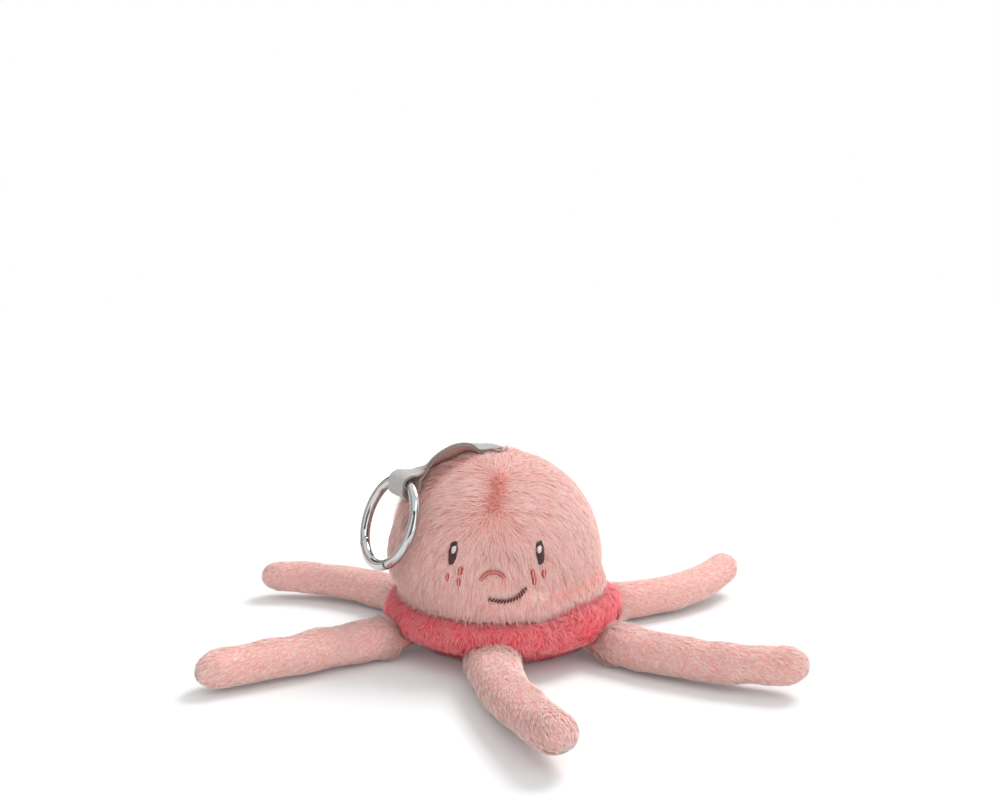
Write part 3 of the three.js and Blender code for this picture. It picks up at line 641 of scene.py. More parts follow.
# Where the face is, in degrees round and up the dome; a cheek stitch has its roll too
FACE = {
    "eyes": [(-21.6, 15.2), (23.9, 15.2)],
    "cheeks": [
        (-23.8, 3.1, 12), (-17.0, 7.0, 10), (-17.7, 1.3, 8),
        (19.2, 5.6, -16), (19.8, 1.9, 4), (25.1, 4.5, 8),
    ],
    "nose": [(-6.7, 3.4), (-4, 6.0), (-0.9, 7.0), (2.2, 6.6), (4.6, 4.7)],
    "mouth": [(-2.2, -6.5), (1.5, -7.4), (4.8, -7.6), (10, -6.4), (12.8, -4.6), (15.3, -1.8)],
}
PARTING = [(4.4, 57), (3.2, 51.5), (1.6, 45.2), (-0.6, 38.5)]
# Half width and half height of the oval that each stitch holds down
BARE = {"eyes": (1.95, 4.1), "cheeks": (0.85, 1.7), "nose": (1.0, 1.0), "mouth": (0.95, 0.95)}
# Where the band's pile stands over the hem, in degrees from the front to the viewer's right
HEM_FIRST, HEM_LAST, HEM_FADE = 18, 118, 26


def over_dome(s, azimuth, elevation, above):
    """A point over the dome from degrees round and up, at a height above the fabric."""
    a, e = np.radians(azimuth), np.radians(elevation)
    out = np.stack([np.sin(a) * np.cos(e), -np.cos(a) * np.cos(e), np.sin(e)], -1)
    return lifted(s, dome_centre(s) + out * s["dome_radius"], above)


def lifted(s, points, above):
    """Points moved straight out of the dome to a height above the fabric."""
    points = np.atleast_2d(points).astype(float)
    centre = dome_centre(s)
    axis = np.stack([lean_at(s, points[:, 2]), np.zeros(len(points)), points[:, 2]], 1)
    origin = np.where((points[:, 2] >= centre[2])[:, None], centre, axis)
    radius = np.where(points[:, 2] >= centre[2], s["dome_radius"], dome_radius_at(s, points[:, 2]))
    return origin + unit(points - origin) * (radius + above)[:, None]


def patch_axes(s, azimuth, elevation):
    middle = over_dome(s, azimuth, elevation, 0)[0]
    out = unit(middle - dome_centre(s))
    right = unit(np.cross(UP, out))
    return middle, right, np.cross(out, right), out


def curve_points(points, count):
    """A smooth curve through points, as evenly spread points."""
    points = np.array(points, float)
    ends = np.vstack([2 * points[0] - points[1], points, 2 * points[-1] - points[-2]])
    dense = []
    for i in range(1, len(ends) - 2):
        a, b, c, d = ends[i - 1 : i + 3]
        spans = [np.linalg.norm(q - p) ** 0.5 for p, q in ((a, b), (b, c), (c, d))]
        knots = np.concatenate([[0], np.cumsum(spans)])

        def between(p, q, low, high, t):
            return p + (q - p) * ((t - knots[low]) / (knots[high] - knots[low]))

        for t in np.linspace(knots[1], knots[2], 24, endpoint=i == len(ends) - 3):
            ab, bc, cd = between(a, b, 0, 1, t), between(b, c, 1, 2, t), between(c, d, 2, 3, t)
            dense.append(between(between(ab, bc, 0, 2, t), between(bc, cd, 1, 3, t), 1, 2, t))
    dense = np.array(dense)
    steps = distances(dense)
    wanted = np.linspace(0, steps[-1], count)
    return np.stack([np.interp(wanted, steps, dense[:, k]) for k in range(dense.shape[1])], 1)


def band_side(points):
    """From 0 to 1 where the band's pile stands up over the dome's hem, on the viewer's right."""
    round_angle = np.degrees(np.arctan2(points[:, 0], -points[:, 1]))
    return smooth((round_angle - HEM_FIRST) / HEM_FADE) * smooth((HEM_LAST - round_angle) / HEM_FADE)


def bare_spots(s):
    """Ovals that the stitches hold down, as (middle, right, up, half width, half height)."""
    places = [("eyes", place) for place in FACE["eyes"]]
    places += [("cheeks", place[:2]) for place in FACE["cheeks"]]
    for row in ("nose", "mouth"):
        places += [(row, place) for place in curve_points(FACE[row], 16)]
    return [(*patch_axes(s, *place)[:3], *BARE[kind]) for kind, place in places]


def outside_spots(spots, points, grow):
    clear = np.ones(len(points), bool)
    for middle, right, up, half_width, half_height in spots:
        offset = points - middle
        near = (offset**2).sum(1) < 100
        x, y = offset @ right / (half_width + grow), offset @ up / (half_height + grow)
        clear &= ~(near & (x * x + y * y < 1))
    return clear


# A pile's look: its seed, hairs and locks on a square millimetre, rise off the skin, width of a
# hair, size of a lock, how far a hair waves, frays and draws to its lock, the stations along it,
# how far locks differ in tone, and how pale it is at its root; length and bend come with the skin
DOME_LOOK = {
    "seed": 5, "per_mm2": 4.2, "locks_per_mm2": 0.35, "rise": 0.8, "width": 0.2, "lock": 0.8,
    "wave": 0.24, "fray": 0.22, "draw": 0.35, "stations": (0, 0.5, 1.0), "mottle": 0.14, "pale": 0.0,
}
# What the body's other piles change in it
NAP_LOOK = {
    "seed": 55, "per_mm2": 5.0, "length": 3.4, "rise": 0.5, "width": 0.18, "fray": 0.5, "pale": 0.75,
}
PARTING_LOOK = {"seed": 57, "per_mm2": 6.0, "length": 3.0, "rise": 1.5, "fray": 0.9}
CROWN_LOOK = {"seed": 67, "per_mm2": 5.0, "length": 4.6, "rise": 2.7, "fray": 0.4, "pale": 0.3}
BAND_LOOK = {
    "seed": 61, "per_mm2": 4.0, "locks_per_mm2": 0.5, "rise": 1.25, "lock": 0.9, "fray": 0.5,
    "draw": 0.4, "bend": 9.0, "stations": (0, 0.45, 1.0), "mottle": 0.25,
}
# The ruff's hair is painted paler at its root than the band's, as painted light that lifts it out of the
# shade below the dome's hem
RUFF_LOOK = {"seed": 63, "per_mm2": 5.0, "length": 3.4, "rise": 1.5, "pale": 0.35}
BASE_LOOK = {"seed": 71, "per_mm2": 2.0, "length": 2.8, "rise": 0.9, "bend": 60.0}
ARM_LOOK = {
    "per_mm2": 4.1, "locks_per_mm2": 0.6, "rise": 0.42, "width": 0.19, "lock": 0.6, "wave": 0.28,
    "fray": 0.32, "draw": 0.22, "bend": 30.0, "stations": (0, 0.45, 1.0), "mottle": 0.2, "pale": 0.0,
}
HIDDEN_ARM, HIDDEN_ARM_PER_MM2 = 3, 3.2
DOME_SIDES = ("front", "back", "left", "right")
PARTING_BLUR = 2.2
HEM_GAP = 0.4


# Where the body's hair grows and how it lies
def dome_flow(points, normals, parting):
    """Hair lies away from the parting, and hangs down further off."""
    blurred = points + np.random.default_rng(3).normal(size=points.shape) * PARTING_BLUR
    gap = np.linalg.norm(blurred[:, None] - parting[None], axis=2)
    away = across_from(blurred - parting[gap.argmin(1)], normals)
    down = across_from(np.tile(-UP, (len(points), 1)), normals)
    fall = smooth((gap.min(1) - 8) / 32)[:, None] * 1.6
    return unit(away) + down * fall


def on_dome(s, points):
    return points[:, 2] > s["dome_bottom"] + HEM_GAP


def dome_side(s, points):
    """Which of the dome's sides a point is on, as its place in DOME_SIDES."""
    aside, behind = points[:, 0] - dome_centre(s)[0], points[:, 1]
    return np.where(np.abs(aside) <= np.abs(behind), behind >= 0, 2 + (aside >= 0))


def by_parting(points, parting):
    """Close to the parting, where the pile's coloured roots show."""
    spread = 1.1 + 1.3 * np.random.default_rng(97).random(len(points)) ** 2
    return np.linalg.norm(points[:, None] - parting[None, ::2], axis=2).min(1) < spread


def nap_zone(s, points, spots):
    """Short nap round and below the stitches, and fading up from the front of the dome's hem."""
    zone = np.zeros(len(points), bool)
    for middle, right, up, half_width, half_height in spots:
        x, y = (points - middle) @ right, (points - middle) @ up
        tall = (y < half_height + 1.2) & (y > -half_height - 6.5)
        zone |= (np.abs(x) < half_width + 1.4) & tall & (points[:, 1] < 0)
    fading = s["dome_bottom"] + 1 + 9 * np.random.default_rng(97).random(len(points)) ** 1.5
    return zone | (points[:, 1] < 12) & (points[:, 2] < fading)


def clear_of_tape(s, points, tape):
    """Hair stops short of the strap, which would otherwise run through it."""
    clear = np.ones(len(points), bool)
    high = np.flatnonzero((points[:, 2] > 55) & (points[:, 0] < 6))
    middle, edge, face = tape
    gap = points[high][:, None] - middle[None]
    nearest = (gap**2).sum(2).argmin(1)
    gap = gap[np.arange(len(high)), nearest]
    across = np.abs((gap * edge[nearest]).sum(1)) < s["tape_width"] / 2 + 0.1
    through = np.abs((gap * face[nearest]).sum(1)) < s["tape_thickness"] / 2 + 0.25
    clear[high] = ~(across & through & ((gap**2).sum(1) < 40))
    return clear


def clear_face(s, points, spots, tape):
    """Hair stops at the stitches, at the ragged hem and at the strap; some hangs over the cheeks."""
    ragged = np.random.default_rng(93).normal(size=len(points))
    hem = s["dome_bottom"] + 1.0 + 2.2 * band_side(points) + 0.9 * ragged + 0.4 * ripple(points, 2.5, 91)
    over_cheeks = ~outside_spots(spots[2:8], points, 0.2)
    loose = np.random.default_rng(95).random(len(points)) < 0.14 + 0.26 * over_cheeks
    off_stitches = outside_spots(spots, points, -0.3) | loose
    return off_stitches & (points[:, 2] > hem) & clear_of_tape(s, points, tape)


def over_band(s, points):
    """Hair hangs over the band's bulge instead of running into it."""
    share = (points[:, 2] - s["band_bottom"]) / s["band_height"] * 2 - 1
    beside = np.abs(share) < 1
    surface = seam_radius(s) + s["band_bulge"] * half_round(share) * beside + 0.5
    radius = np.hypot(points[:, 0], points[:, 1])
    push = 1 + np.where(beside, np.maximum(surface - radius, 0), 0) / radius
    return points * np.stack([push, push, np.ones(len(points))], 1)


def beside_strap(s, points, tape):
    """How much the hair stands up where the strap lies on the dome and presses it aside."""
    middle, edge, _ = tape
    rim = np.vstack([middle + edge * s["tape_width"] * share for share in (-0.1, 0.2, 0.5)])
    centre = dome_centre(s)
    rim = rim[rim[:, 2] > centre[2] + s["dome_radius"] * 0.72]
    near = np.full(len(points), 99.0)
    high = np.flatnonzero((points[:, 2] > 50) & (points[:, 0] < 8))
    reach = np.linalg.norm(unit(points[high] - centre)[:, None] - unit(rim - centre)[None], axis=2)
    near[high] = reach.min(1) * s["dome_radius"]
    return 1 + 3.6 * smooth(1.2 - near / 4.5)


def band_flow(s, points):
    """The band's hair swirls: down over its bulge, and up over the dome's hem on the right."""
    out = unit(points * [1, 1, 0])
    swirl = np.cross(UP, out) * (0.8 * ripple(points, 9, 77))[:, None]
    high = smooth((points[:, 2] - s["band_bottom"] - 4) / 4)
    low = smooth((s["band_bottom"] + 4.5 - points[:, 2]) / 3)
    fall = -0.25 - 0.55 * high + 2.4 * band_side(points) * high - 1.3 * low
    return UP * fall[:, None] + swirl + out * 0.35


def stand_at_hem(s, points):
    high = smooth((points[:, 2] - s["band_bottom"] - 6) / 3)
    return 1 + 2.0 * high * band_side(points) * smooth((6 - points[:, 1]) / 12)


def on_ruff(s, points):
    """The strip of the dome that the band's hair rises over, on the front and the right."""
    low = s["dome_bottom"]
    reach = low + 0.3 + 2.4 * band_side(points) + 0.5 * ripple(points, 3, 99)
    front = (band_side(points) > 0.1) & (points[:, 1] < -6)
    return front & (points[:, 2] > low - 0.2) & (points[:, 2] < reach)


def ruff_flow(points):
    return UP + unit(points * [1, 1, 0]) * 0.2 + ripple(points, 5, 98)[:, None] * 0.3


def at_crown(s, points, end, onward, edge):
    """Round the strap's end in the crown seam."""
    gap = points - end
    along, aside = gap @ onward, np.abs(gap @ edge)
    near = (along > -3.5) & (along < 1.0) & (aside < s["tape_width"] / 2 + 1 + 0.3 * along)
    return near & (points[:, 2] > 60)


def base_flow(points):
    sway = [ripple(points, 9, 5), ripple(points, 9, 6), 0 * points[:, 0]]
    return points * [1, 1, 0] + 6 * np.stack(sway, 1)


# Pieces: body
class CHARM_OT_body(bpy.types.Operator):
    """Stuffed dome, band and base with their pile"""

    bl_idname = "charm.body"
    bl_label = "Body"

    def execute(self, context):
        s, c = body_sizes(), context.scene.charm_colours
        dome, band, base = dome_form(s), band_form(s), base_form(s)
        pink = backing_material("Dome backing", c.dome_root, c.dome_tip)
        coral = backing_material("Coral backing", c.coral_root, c.coral_tip)
        finish(dome, "body", pink, "dome_pile", "dome_cover", "body_stuffing")
        finish(band, "body", coral, "coral_pile", "band_cover")
        finish(base, "body", coral, "coral_pile", "base_panel")

        tape = [part[::6] for part in strap_path(s)[0]]
        look = {**DOME_LOOK, "length": s["dome_pile"], "bend": s["dome_radius"]}
        hair = hair_material("Dome hair", c.dome_root, c.dome_tip, sheen=0.6)
        self.dome_piles(s, c, dome, tape, look, hair)

        coral_hair = hair_material("Coral hair", c.coral_root, c.coral_tip, sheen=0.5)
        band_look = {**look, **BAND_LOOK, "length": s["band_pile"]}
        pile = grow_pile(
            "band_pile", band, band_look, lambda p, n: band_flow(s, p),
            keep=lambda p, n: np.hypot(p[:, 0], p[:, 1]) > seam_radius(s) - 0.5,
            stand=lambda p: stand_at_hem(s, p),
        )
        finish(pile, "body", coral_hair, "coral_pile")
        pile = grow_pile(
            "band_ruff", dome, {**band_look, **RUFF_LOOK}, lambda p, n: ruff_flow(p),
            keep=lambda p, n: on_ruff(s, p),
        )
        finish(pile, "body", coral_hair, "coral_pile")

        end, edge = tape[0][0], tape[1][0]
        onward = unit(tape[0][1] - end)
        pile = grow_pile(
            "crown_tuft", dome, {**look, **CROWN_LOOK},
            lambda p, n: np.tile(onward, (len(p), 1)) + edge * (0.5 * ripple(p, 6, 96))[:, None],
            keep=lambda p, n: at_crown(s, p, end, onward, edge), clear=lambda p: clear_of_tape(s, p, tape),
        )
        finish(pile, "body", hair, "dome_pile")

        pile = grow_pile(
            "base_pile", base, {**band_look, **BASE_LOOK}, lambda p, n: base_flow(p),
            keep=lambda p, n: (p[:, 2] > 0.6) & (p[:, 2] < s["base_depth"] + 1.4),
        )
        finish(pile, "body", coral_hair, "coral_pile")
        return {"FINISHED"}

    def dome_piles(self, s, c, dome, tape, look, hair):
        """The long pile in four pieces, the nap round the stitches, and the parting."""
        parting = np.vstack([over_dome(s, a, e, 0) for a, e in curve_points(PARTING, 24)])
        spots = bare_spots(s)

        def flow(points, normals):
            return dome_flow(points, normals, parting)

        def clear(points):
            return clear_face(s, points, spots, tape)

        def drape(points):
            return over_band(s, points)

        for i, side in enumerate(DOME_SIDES):
            pile = grow_pile(
                f"dome_pile_{side}", dome, {**look, "seed": look["seed"] + 10 * i}, flow,
                keep=lambda p, n, i=i: on_dome(s, p) & (dome_side(s, p) == i),
                clear=clear, stand=lambda p: beside_strap(s, p, tape), drape=drape,
            )
            finish(pile, "body", hair, "dome_pile")
        pile = grow_pile(
            "face_nap", dome, {**look, **NAP_LOOK}, flow,
            keep=lambda p, n: nap_zone(s, p, spots) & on_dome(s, p), clear=clear, drape=drape,
        )
        finish(pile, "body", hair, "dome_pile")
        warm = [r + (t - r) * 0.3 for r, t in zip(c.dome_root, c.dome_tip)]
        pile = grow_pile(
            "parting_nap", dome, {**look, **PARTING_LOOK}, flow,
            keep=lambda p, n: by_parting(p, parting), clear=clear,
        )
        finish(pile, "body", hair_material("Parting hair", c.dome_root, warm, sheen=0.2), "dome_pile")


# Pieces: arms

# Each arm's seam in degrees round the body, yaw past its swell, bend to its tip, and rise of its tip
ARMS = [
    (-5, 11, 23, 5.0), (57, -14, 38, 3.5), (113, -16, 50, 5.0),
    (180, 4, -12, 0.0), (238, -21, 64, 2.5), (295, 8, -4, 0.5),
]
ARM_SWELL = 14.0
# How an arm fills out above and below its middle: where that starts before the seam and how far it goes
ARM_FILL = ((1.0, 7.5), (3.0, 5.0))
TAPERED_ARM_FILL = ((1.0, 7.5), (2.0, 9.0))
# How far each side of an arm draws in at its root, and over what length
ARM_TAPER = (1.6, 4.0)
TAPERED_ARM_TAPER = (3.4, 11.0)
TAPERED_ARMS = (1, 5)
ARM_END = 9.0
ARM_ROOT_ROUND = 1.65
ARM_ROOT_DEPTH = 3.2
ARM_SEAM_RADIUS = 41.15
ARM_SEAM_HEIGHT = 6.0
ARM_FLOOR_GAP = 0.4
ARM_ROUNDNESS = 0.9
FRONT_ARM = 0


def outwards(angle):
    """The level direction out of the body, by degrees round it from its front."""
    turn = math.radians(angle)
    return np.array([math.sin(turn), -math.cos(turn), 0])


def arm_line(s, pose, along):
    """Centre line of an arm with its heading and full height, for distances along it."""
    seam, yaw, bend, rise = pose
    fine = np.linspace(0, s["arm_length"], 400)
    heading = np.radians(seam + yaw * smooth(fine / ARM_SWELL) + bend * fine / s["arm_length"])
    between = heading[:-1] + np.diff(heading) / 2
    x = np.concatenate([[0], np.cumsum(np.sin(between) * fine[1])])
    y = np.concatenate([[0], np.cumsum(-np.cos(between) * fine[1])])
    root = outwards(seam)
    clipped, before = np.clip(along, 0, s["arm_length"]), np.minimum(along, 0)
    centre_x = root[0] * ARM_SEAM_RADIUS + np.interp(clipped, fine, x) + before * root[0]
    centre_y = root[1] * ARM_SEAM_RADIUS + np.interp(clipped, fine, y) + before * root[1]
    share = clipped / (s["arm_length"] - ARM_END)
    full = s["arm_height"] + (s["arm_tip_height"] - s["arm_height"]) * np.clip(share, 0, 1)
    settled = ARM_FLOOR_GAP + s["arm_height"] / 2
    lift = rise * np.clip((along - ARM_SWELL) / (s["arm_length"] - ARM_SWELL), 0, None) ** 2
    centre_z = ARM_SEAM_HEIGHT + (settled - ARM_SEAM_HEIGHT) * smooth(along / ARM_SWELL) + lift
    return np.stack([centre_x, centre_y, centre_z], -1), np.interp(clipped, fine, heading), full


def arm_form(s, index):
    """A stuffed arm: round at its tip, full at its root and drawn in under the band."""
    length = s["arm_length"]
    tapered = index in TAPERED_ARMS
    fills = TAPERED_ARM_FILL if tapered else ARM_FILL
    narrow, reach = TAPERED_ARM_TAPER if tapered else ARM_TAPER

    def place(u, v):
        along = -ARM_ROOT_DEPTH + v * (length + ARM_ROOT_DEPTH)
        centre, heading, full = arm_line(s, ARMS[index], along)
        share = np.clip(along / (length - ARM_END), 0, 1)
        width = (s["arm_root_width"] + (s["arm_tip_width"] - s["arm_root_width"]) * share) / 2
        root = np.sqrt(np.clip(1 - (np.minimum(along, 0) / ARM_ROOT_DEPTH) ** 2, 0, None))
        above, below = (
            root * (ARM_ROOT_ROUND + (full / 2 - ARM_ROOT_ROUND) * smooth((along + start) / (start + fill)))
            for start, fill in fills
        )
        width = width - ARM_ROOT_DEPTH * (1 - root) - narrow * smooth((reach - along) / (reach + 2))
        width = width * np.where(v <= 1e-6, 0, 1)
        end = half_round(np.clip(along - length + ARM_END, 0, None) / ARM_END)
        across = np.stack([np.cos(heading), np.sin(heading), 0 * heading], -1)
        aside, upward = (
            np.sign(part) * np.abs(part) ** ARM_ROUNDNESS for part in (np.cos(TAU * u), np.sin(TAU * u))
        )
        points = centre + across * (width * end * aside)[:, None]
        points[:, 2] += np.where(upward > 0, above, below) * end * upward
        lumps = ripple(points, 15, 31 + index) * 0.3 * end * smooth(along / ARM_SWELL)
        points += (across * aside[:, None] + UP * upward[:, None]) * lumps[:, None]
        points[:, 2] = np.maximum(points[:, 2], 0.3)
        return points

    return wrapped(f"arm_plush_{index + 1}", 36, 60, place)


def past_seam(points):
    """How far points lie out from the arms' seams."""
    return np.hypot(points[:, 0], points[:, 1]) - ARM_SEAM_RADIUS


class CHARM_OT_arms(bpy.types.Operator):
    """Six stuffed arms with their pile"""

    bl_idname = "charm.arms"
    bl_label = "Arms"

    def execute(self, context):
        s, c = body_sizes(), context.scene.charm_colours
        backing = backing_material("Arm backing", c.arm_root, c.arm_tip)
        hair = hair_material("Arm hair", c.arm_root, c.arm_tip, sheen=0.5)
        for index, pose in enumerate(ARMS):
            arm = arm_form(s, index)
            line, heading, _ = arm_line(s, pose, np.linspace(0, s["arm_length"], 90))
            forward = np.stack([np.sin(heading), -np.cos(heading), 0 * heading], 1)
            turnover = (1.6, 7) if index == FRONT_ARM else (1.0, 4.5)

            def flow(points, normals, line=line, forward=forward, turnover=turnover):
                """Hair lies towards the tip, and turns back up over the band's edge at the root."""
                nearest = ((points[:, None] - line[None]) ** 2).sum(2).argmin(1)
                start, reach = turnover
                back = smooth(start - past_seam(points) / reach)[:, None]
                return forward[nearest] * (1 - 1.9 * back) + np.array([0, 0, -0.45]) * (1 - 2 * back)

            look = {**ARM_LOOK, "seed": 101 + index, "length": s["arm_pile"]}
            if index == HIDDEN_ARM:
                look["per_mm2"] = HIDDEN_ARM_PER_MM2
            pile = grow_pile(
                f"arm_pile_{index + 1}", arm, look, flow, keep=lambda p, n: past_seam(p) > -1.5,
                stand=lambda p: 1 + 2.6 * smooth(1.4 - past_seam(p) / 9),
            )
            finish(arm, None, backing, "arm_pile", f"arm_cover_{index + 1}", f"arm_stuffing_{index + 1}")
            finish(pile, None, hair, "arm_pile")
            out = outwards(pose[0])
            seam = out * ARM_SEAM_RADIUS + UP * ARM_SEAM_HEIGHT
            start, end = tuple((seam - out * 1.2) * MM), tuple((seam + out * 5.0) * MM)
            for piece in (arm, pile):
                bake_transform(piece)
                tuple(start)
                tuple(end)
        return {"FINISHED"}


# Pieces: face
def stitched(name, paths, thread):
    """Closed round threads along paths of equal length, each with its own strip of the map."""
    paths = np.array(paths)
    rows, stations = paths.shape[:2]
    sides = 6
    tangent = unit(np.gradient(paths, axis=1))
    side = unit(np.cross(tangent, np.array([0, -1.0, 0.2])))
    top = np.cross(side, tangent)
    taper = np.ones(stations)
    taper[[0, -1]] = 0.35
    angle = TAU * np.arange(sides) / sides
    around = side[:, :, None] * np.cos(angle)[:, None] + top[:, :, None] * np.sin(angle)[:, None]
    ring = paths[:, :, None] + around * (thread / 2 * taper)[None, :, None, None]
    points = np.concatenate([ring.reshape(rows, -1, 3), paths[:, :1], paths[:, -1:]], 1)
    per = points.shape[1]
    quads, caps, quad_map, cap_map = [], [], [], []
    for j in range(stations - 1):
        foot, head = j * sides, (j + 1) * sides
        low, high = j / (stations - 1), (j + 1) / (stations - 1)
        for k in range(sides):
            n = (k + 1) % sides
            left, right = k / sides, (k + 1) / sides
            quads.append([foot + k, foot + n, head + n, head + k])
            quad_map.append([(left, low), (right, low), (right, high), (left, high)])
    last = (stations - 1) * sides
    for k in range(sides):
        n = (k + 1) % sides
        caps += [[per - 2, n, k], [per - 1, last + k, last + n]]
        cap_map += [[(0.5, 0.01), (0.6, 0), (0.4, 0)], [(0.5, 0.99), (0.4, 1), (0.6, 1)]]
    start = (np.arange(rows) * per)[:, None, None]
    strip = np.array([1 / rows, 1])
    shift = np.stack([np.arange(rows) / rows, np.zeros(rows)], 1)[:, None, None]
    maps = [np.array(m) * strip + shift for m in (quad_map, cap_map)]
    faces = [(start + np.array(f)[None]).reshape(-1, len(f[0])) for f in (quads, caps)]
    obj = mesh_from(name, points.reshape(-1, 3), faces, [m.reshape(-1, m.shape[-2], 2) for m in maps])
    face_outwards(obj)
    return obj


def laid_over(s, flat, x, half, low, high):
    """A thread over flat points, from a low height at its ends to a high one at its middle."""
    return lifted(s, flat, low + (high - low) * half_round(x / half) ** 0.7)


def satin_oval(s, azimuth, elevation, width, height, slant, low, high, seed, shift=(0, 0), square=2.0):
    """Threads laid side by side across an oval or a rounded oblong, as arcs over the dome."""
    middle, right, up, _ = patch_axes(s, azimuth, elevation)
    middle = middle + right * shift[0] + up * shift[1]
    random = np.random.default_rng(seed)
    pitch = s["thread"] * 0.86
    tilt = math.radians(slant)
    paths = []
    for y in np.arange(-height / 2 + pitch * 0.4, height / 2, pitch):
        share = max(1 - abs(2 * y / height) ** square, 0) ** (1 / square)
        half = width / 2 * share + random.uniform(-0.12, 0.26)
        if half < 0.12:
            continue
        x = np.linspace(-half, half, 9)
        flat = middle + np.outer(x * math.cos(tilt), right) + np.outer(y + x * math.sin(tilt), up)
        paths.append(laid_over(s, flat, x, half, low, high))
    return paths


def satin_line(s, angles, width, slant, low, high, seed, pitch):
    """Short threads laid across a curved line on the dome."""
    random = np.random.default_rng(seed)
    rough = np.vstack([over_dome(s, a, e, 0) for a, e in curve_points(angles, 40)])
    count = int(distances(rough)[-1] / pitch)
    line = curve_points(rough, count)
    tangent = unit(np.gradient(line, axis=0))
    out = unit(line - dome_centre(s))
    across = np.cross(out, tangent)
    turn = math.radians(slant)
    paths = []
    for i in range(count):
        half = width / 2 * (0.72 if i in (0, count - 1) else 1) * random.uniform(0.88, 1.12)
        x = np.linspace(-half, half, 7)
        lay = across[i] * math.cos(turn) + tangent[i] * math.sin(turn)
        paths.append(laid_over(s, line[i] + np.outer(x, lay), x, half, low, high))
    return paths


def thread_material(name, value, shade, lighter_middle=None):
    """Satin thread. The middle of each stitch can be painted in a lighter colour while its ends keep the
    thread's darker colour, as painted light and shade across the stitch and where it sinks into the cloth.
    """
    material, tree, shader = new_material(name, 0.5, sheen=0.15, sheen_tint=value, specular=0.4)
    fibre = cloth_group(tree, "Fibre", fill_fibre, [v * shade for v in value], value)
    link_all(tree, (fibre, "Normal", shader, "Normal"))
    if lighter_middle is None:
        link_all(tree, (fibre, "Color", shader, "Base Color"))
        return material
    place = add_node(tree, "ShaderNodeUVMap", {"uv_map": "OFBake"})
    split = add_node(tree, "ShaderNodeSeparateXYZ")
    # Painted light in the middle of each stitch, painted shade at its ends
    middle = ramp(tree, (0.0, 0), (0.28, 0), (0.4, 1), (0.6, 1), (0.72, 0), (1.0, 0))
    inner = mixer(tree, second=lighter_middle)
    link_all(
        tree,
        (place, "UV", split, 0), (split, "Y", middle, 0), (middle, "Color", inner, "Factor"),
        (fibre, "Color", inner, "A"), (inner, "Result", shader, "Base Color"),
    )
    return material


# Width, height and slant of an eye's threads, their heights at the ends and the middle, and how
# square it is, then the same for its glint
EYE = (3.4, 7.8, 24, 0.5, 1.1)
EYE_SQUARE = 2.9
GLINT = (1.8, 2.4, 24, 1.0, 1.6)
GLINT_SQUARE = 2.2
GLINT_ASIDE, GLINT_UP = 0.5, 1.15
CHEEK_WIDTH, CHEEK_HEIGHT, CHEEK_LOW, CHEEK_HIGH = 1.6, 2.9, 0.4, 0.85
# Width, slant and heights of the line's threads, its seed and the threads' pitch
NOSE = (1.3, 10, 0.5, 0.95, 41, 0.62)
MOUTH = (1.6, 32, 0.5, 1.15, 43, 0.95)
NOSE_THREAD, MOUTH_THREAD = 0.5, 0.68


class CHARM_OT_face(bpy.types.Operator):
    """Embroidered eyes, cheeks, nose and mouth"""

    bl_idname = "charm.face"
    bl_label = "Face"

    def execute(self, context):
        s, c = body_sizes(), context.scene.charm_colours
        dark = thread_material("Dark thread", c.dark_thread, 0.5)
        pale = thread_material("Pale thread", c.pale_thread, 0.75)
        red = thread_material("Red thread", c.red_thread, 0.6, lighter_middle=c.red_lit_middle)
        for i, (side, place) in enumerate(zip(("left", "right"), FACE["eyes"])):
            threads = satin_oval(s, *place, *EYE, 7 + i, square=EYE_SQUARE)
            eye = stitched(f"eye_{side}_thread", threads, s["thread"])
            finish(eye, "body", dark, "dark_thread", f"eye_{side}")
            shift = (-GLINT_ASIDE * (i * 2 - 1), GLINT_UP)
            threads = satin_oval(s, *place, *GLINT, 17 + i, shift=shift, square=GLINT_SQUARE)
            glint = stitched(f"eye_glint_{side}_thread", threads, s["thread"])
            finish(glint, "body", pale, "pale_thread", f"eye_glint_{side}")
        for i, (azimuth, elevation, roll) in enumerate(FACE["cheeks"]):
            threads = satin_oval(
                s, azimuth, elevation, CHEEK_WIDTH, CHEEK_HEIGHT, roll, CHEEK_LOW, CHEEK_HIGH, 27 + i
            )
            spot = stitched(f"cheek_thread_{i + 1}", threads, s["thread"])
            finish(spot, "body", red, "red_thread", f"cheek_stitch_{i + 1}")
        nose = stitched("nose_thread", satin_line(s, FACE["nose"], *NOSE), NOSE_THREAD)
        finish(nose, "body", red, "red_thread", "nose_stitch")
        mouth = stitched("mouth_thread", satin_line(s, FACE["mouth"], *MOUTH), MOUTH_THREAD)
        finish(mouth, "body", dark, "dark_thread", "mouth_stitch")
        return {"FINISHED"}


# Pieces: ring
RING_CENTRE = np.array([-42.097, -18.010, 50.195])
RING_FACING = math.radians(55)
RING_LEAN = math.radians(21)
# The gate's hinge and how far it spans, in degrees round the ring
GATE_HINGE = 148.0
GATE_SPAN = 77.0
LIP = 1.3
GATE_GAP = 0.3
FORK_CHEEK = 1.05
TONGUE_CLEARANCE = 0.12
PIN = 1.1
PIN_CLEARANCE = 0.08
SPRING_BORE_RADIUS, SPRING_BORE_DEPTH = 0.705, 3.7
EDGE_BEVEL = 0.06


def ring_matrix():
    ahead = math.cos(RING_LEAN)
    face = Vector((-math.sin(RING_FACING) * ahead, -math.cos(RING_FACING) * ahead, math.sin(RING_LEAN)))
    level = Vector((math.cos(RING_FACING), -math.sin(RING_FACING), 0))
    top = face.cross(level)
    matrix = Matrix((level, top, face)).transposed().to_4x4()
    matrix.translation = Vector(RING_CENTRE * MM)
    return matrix


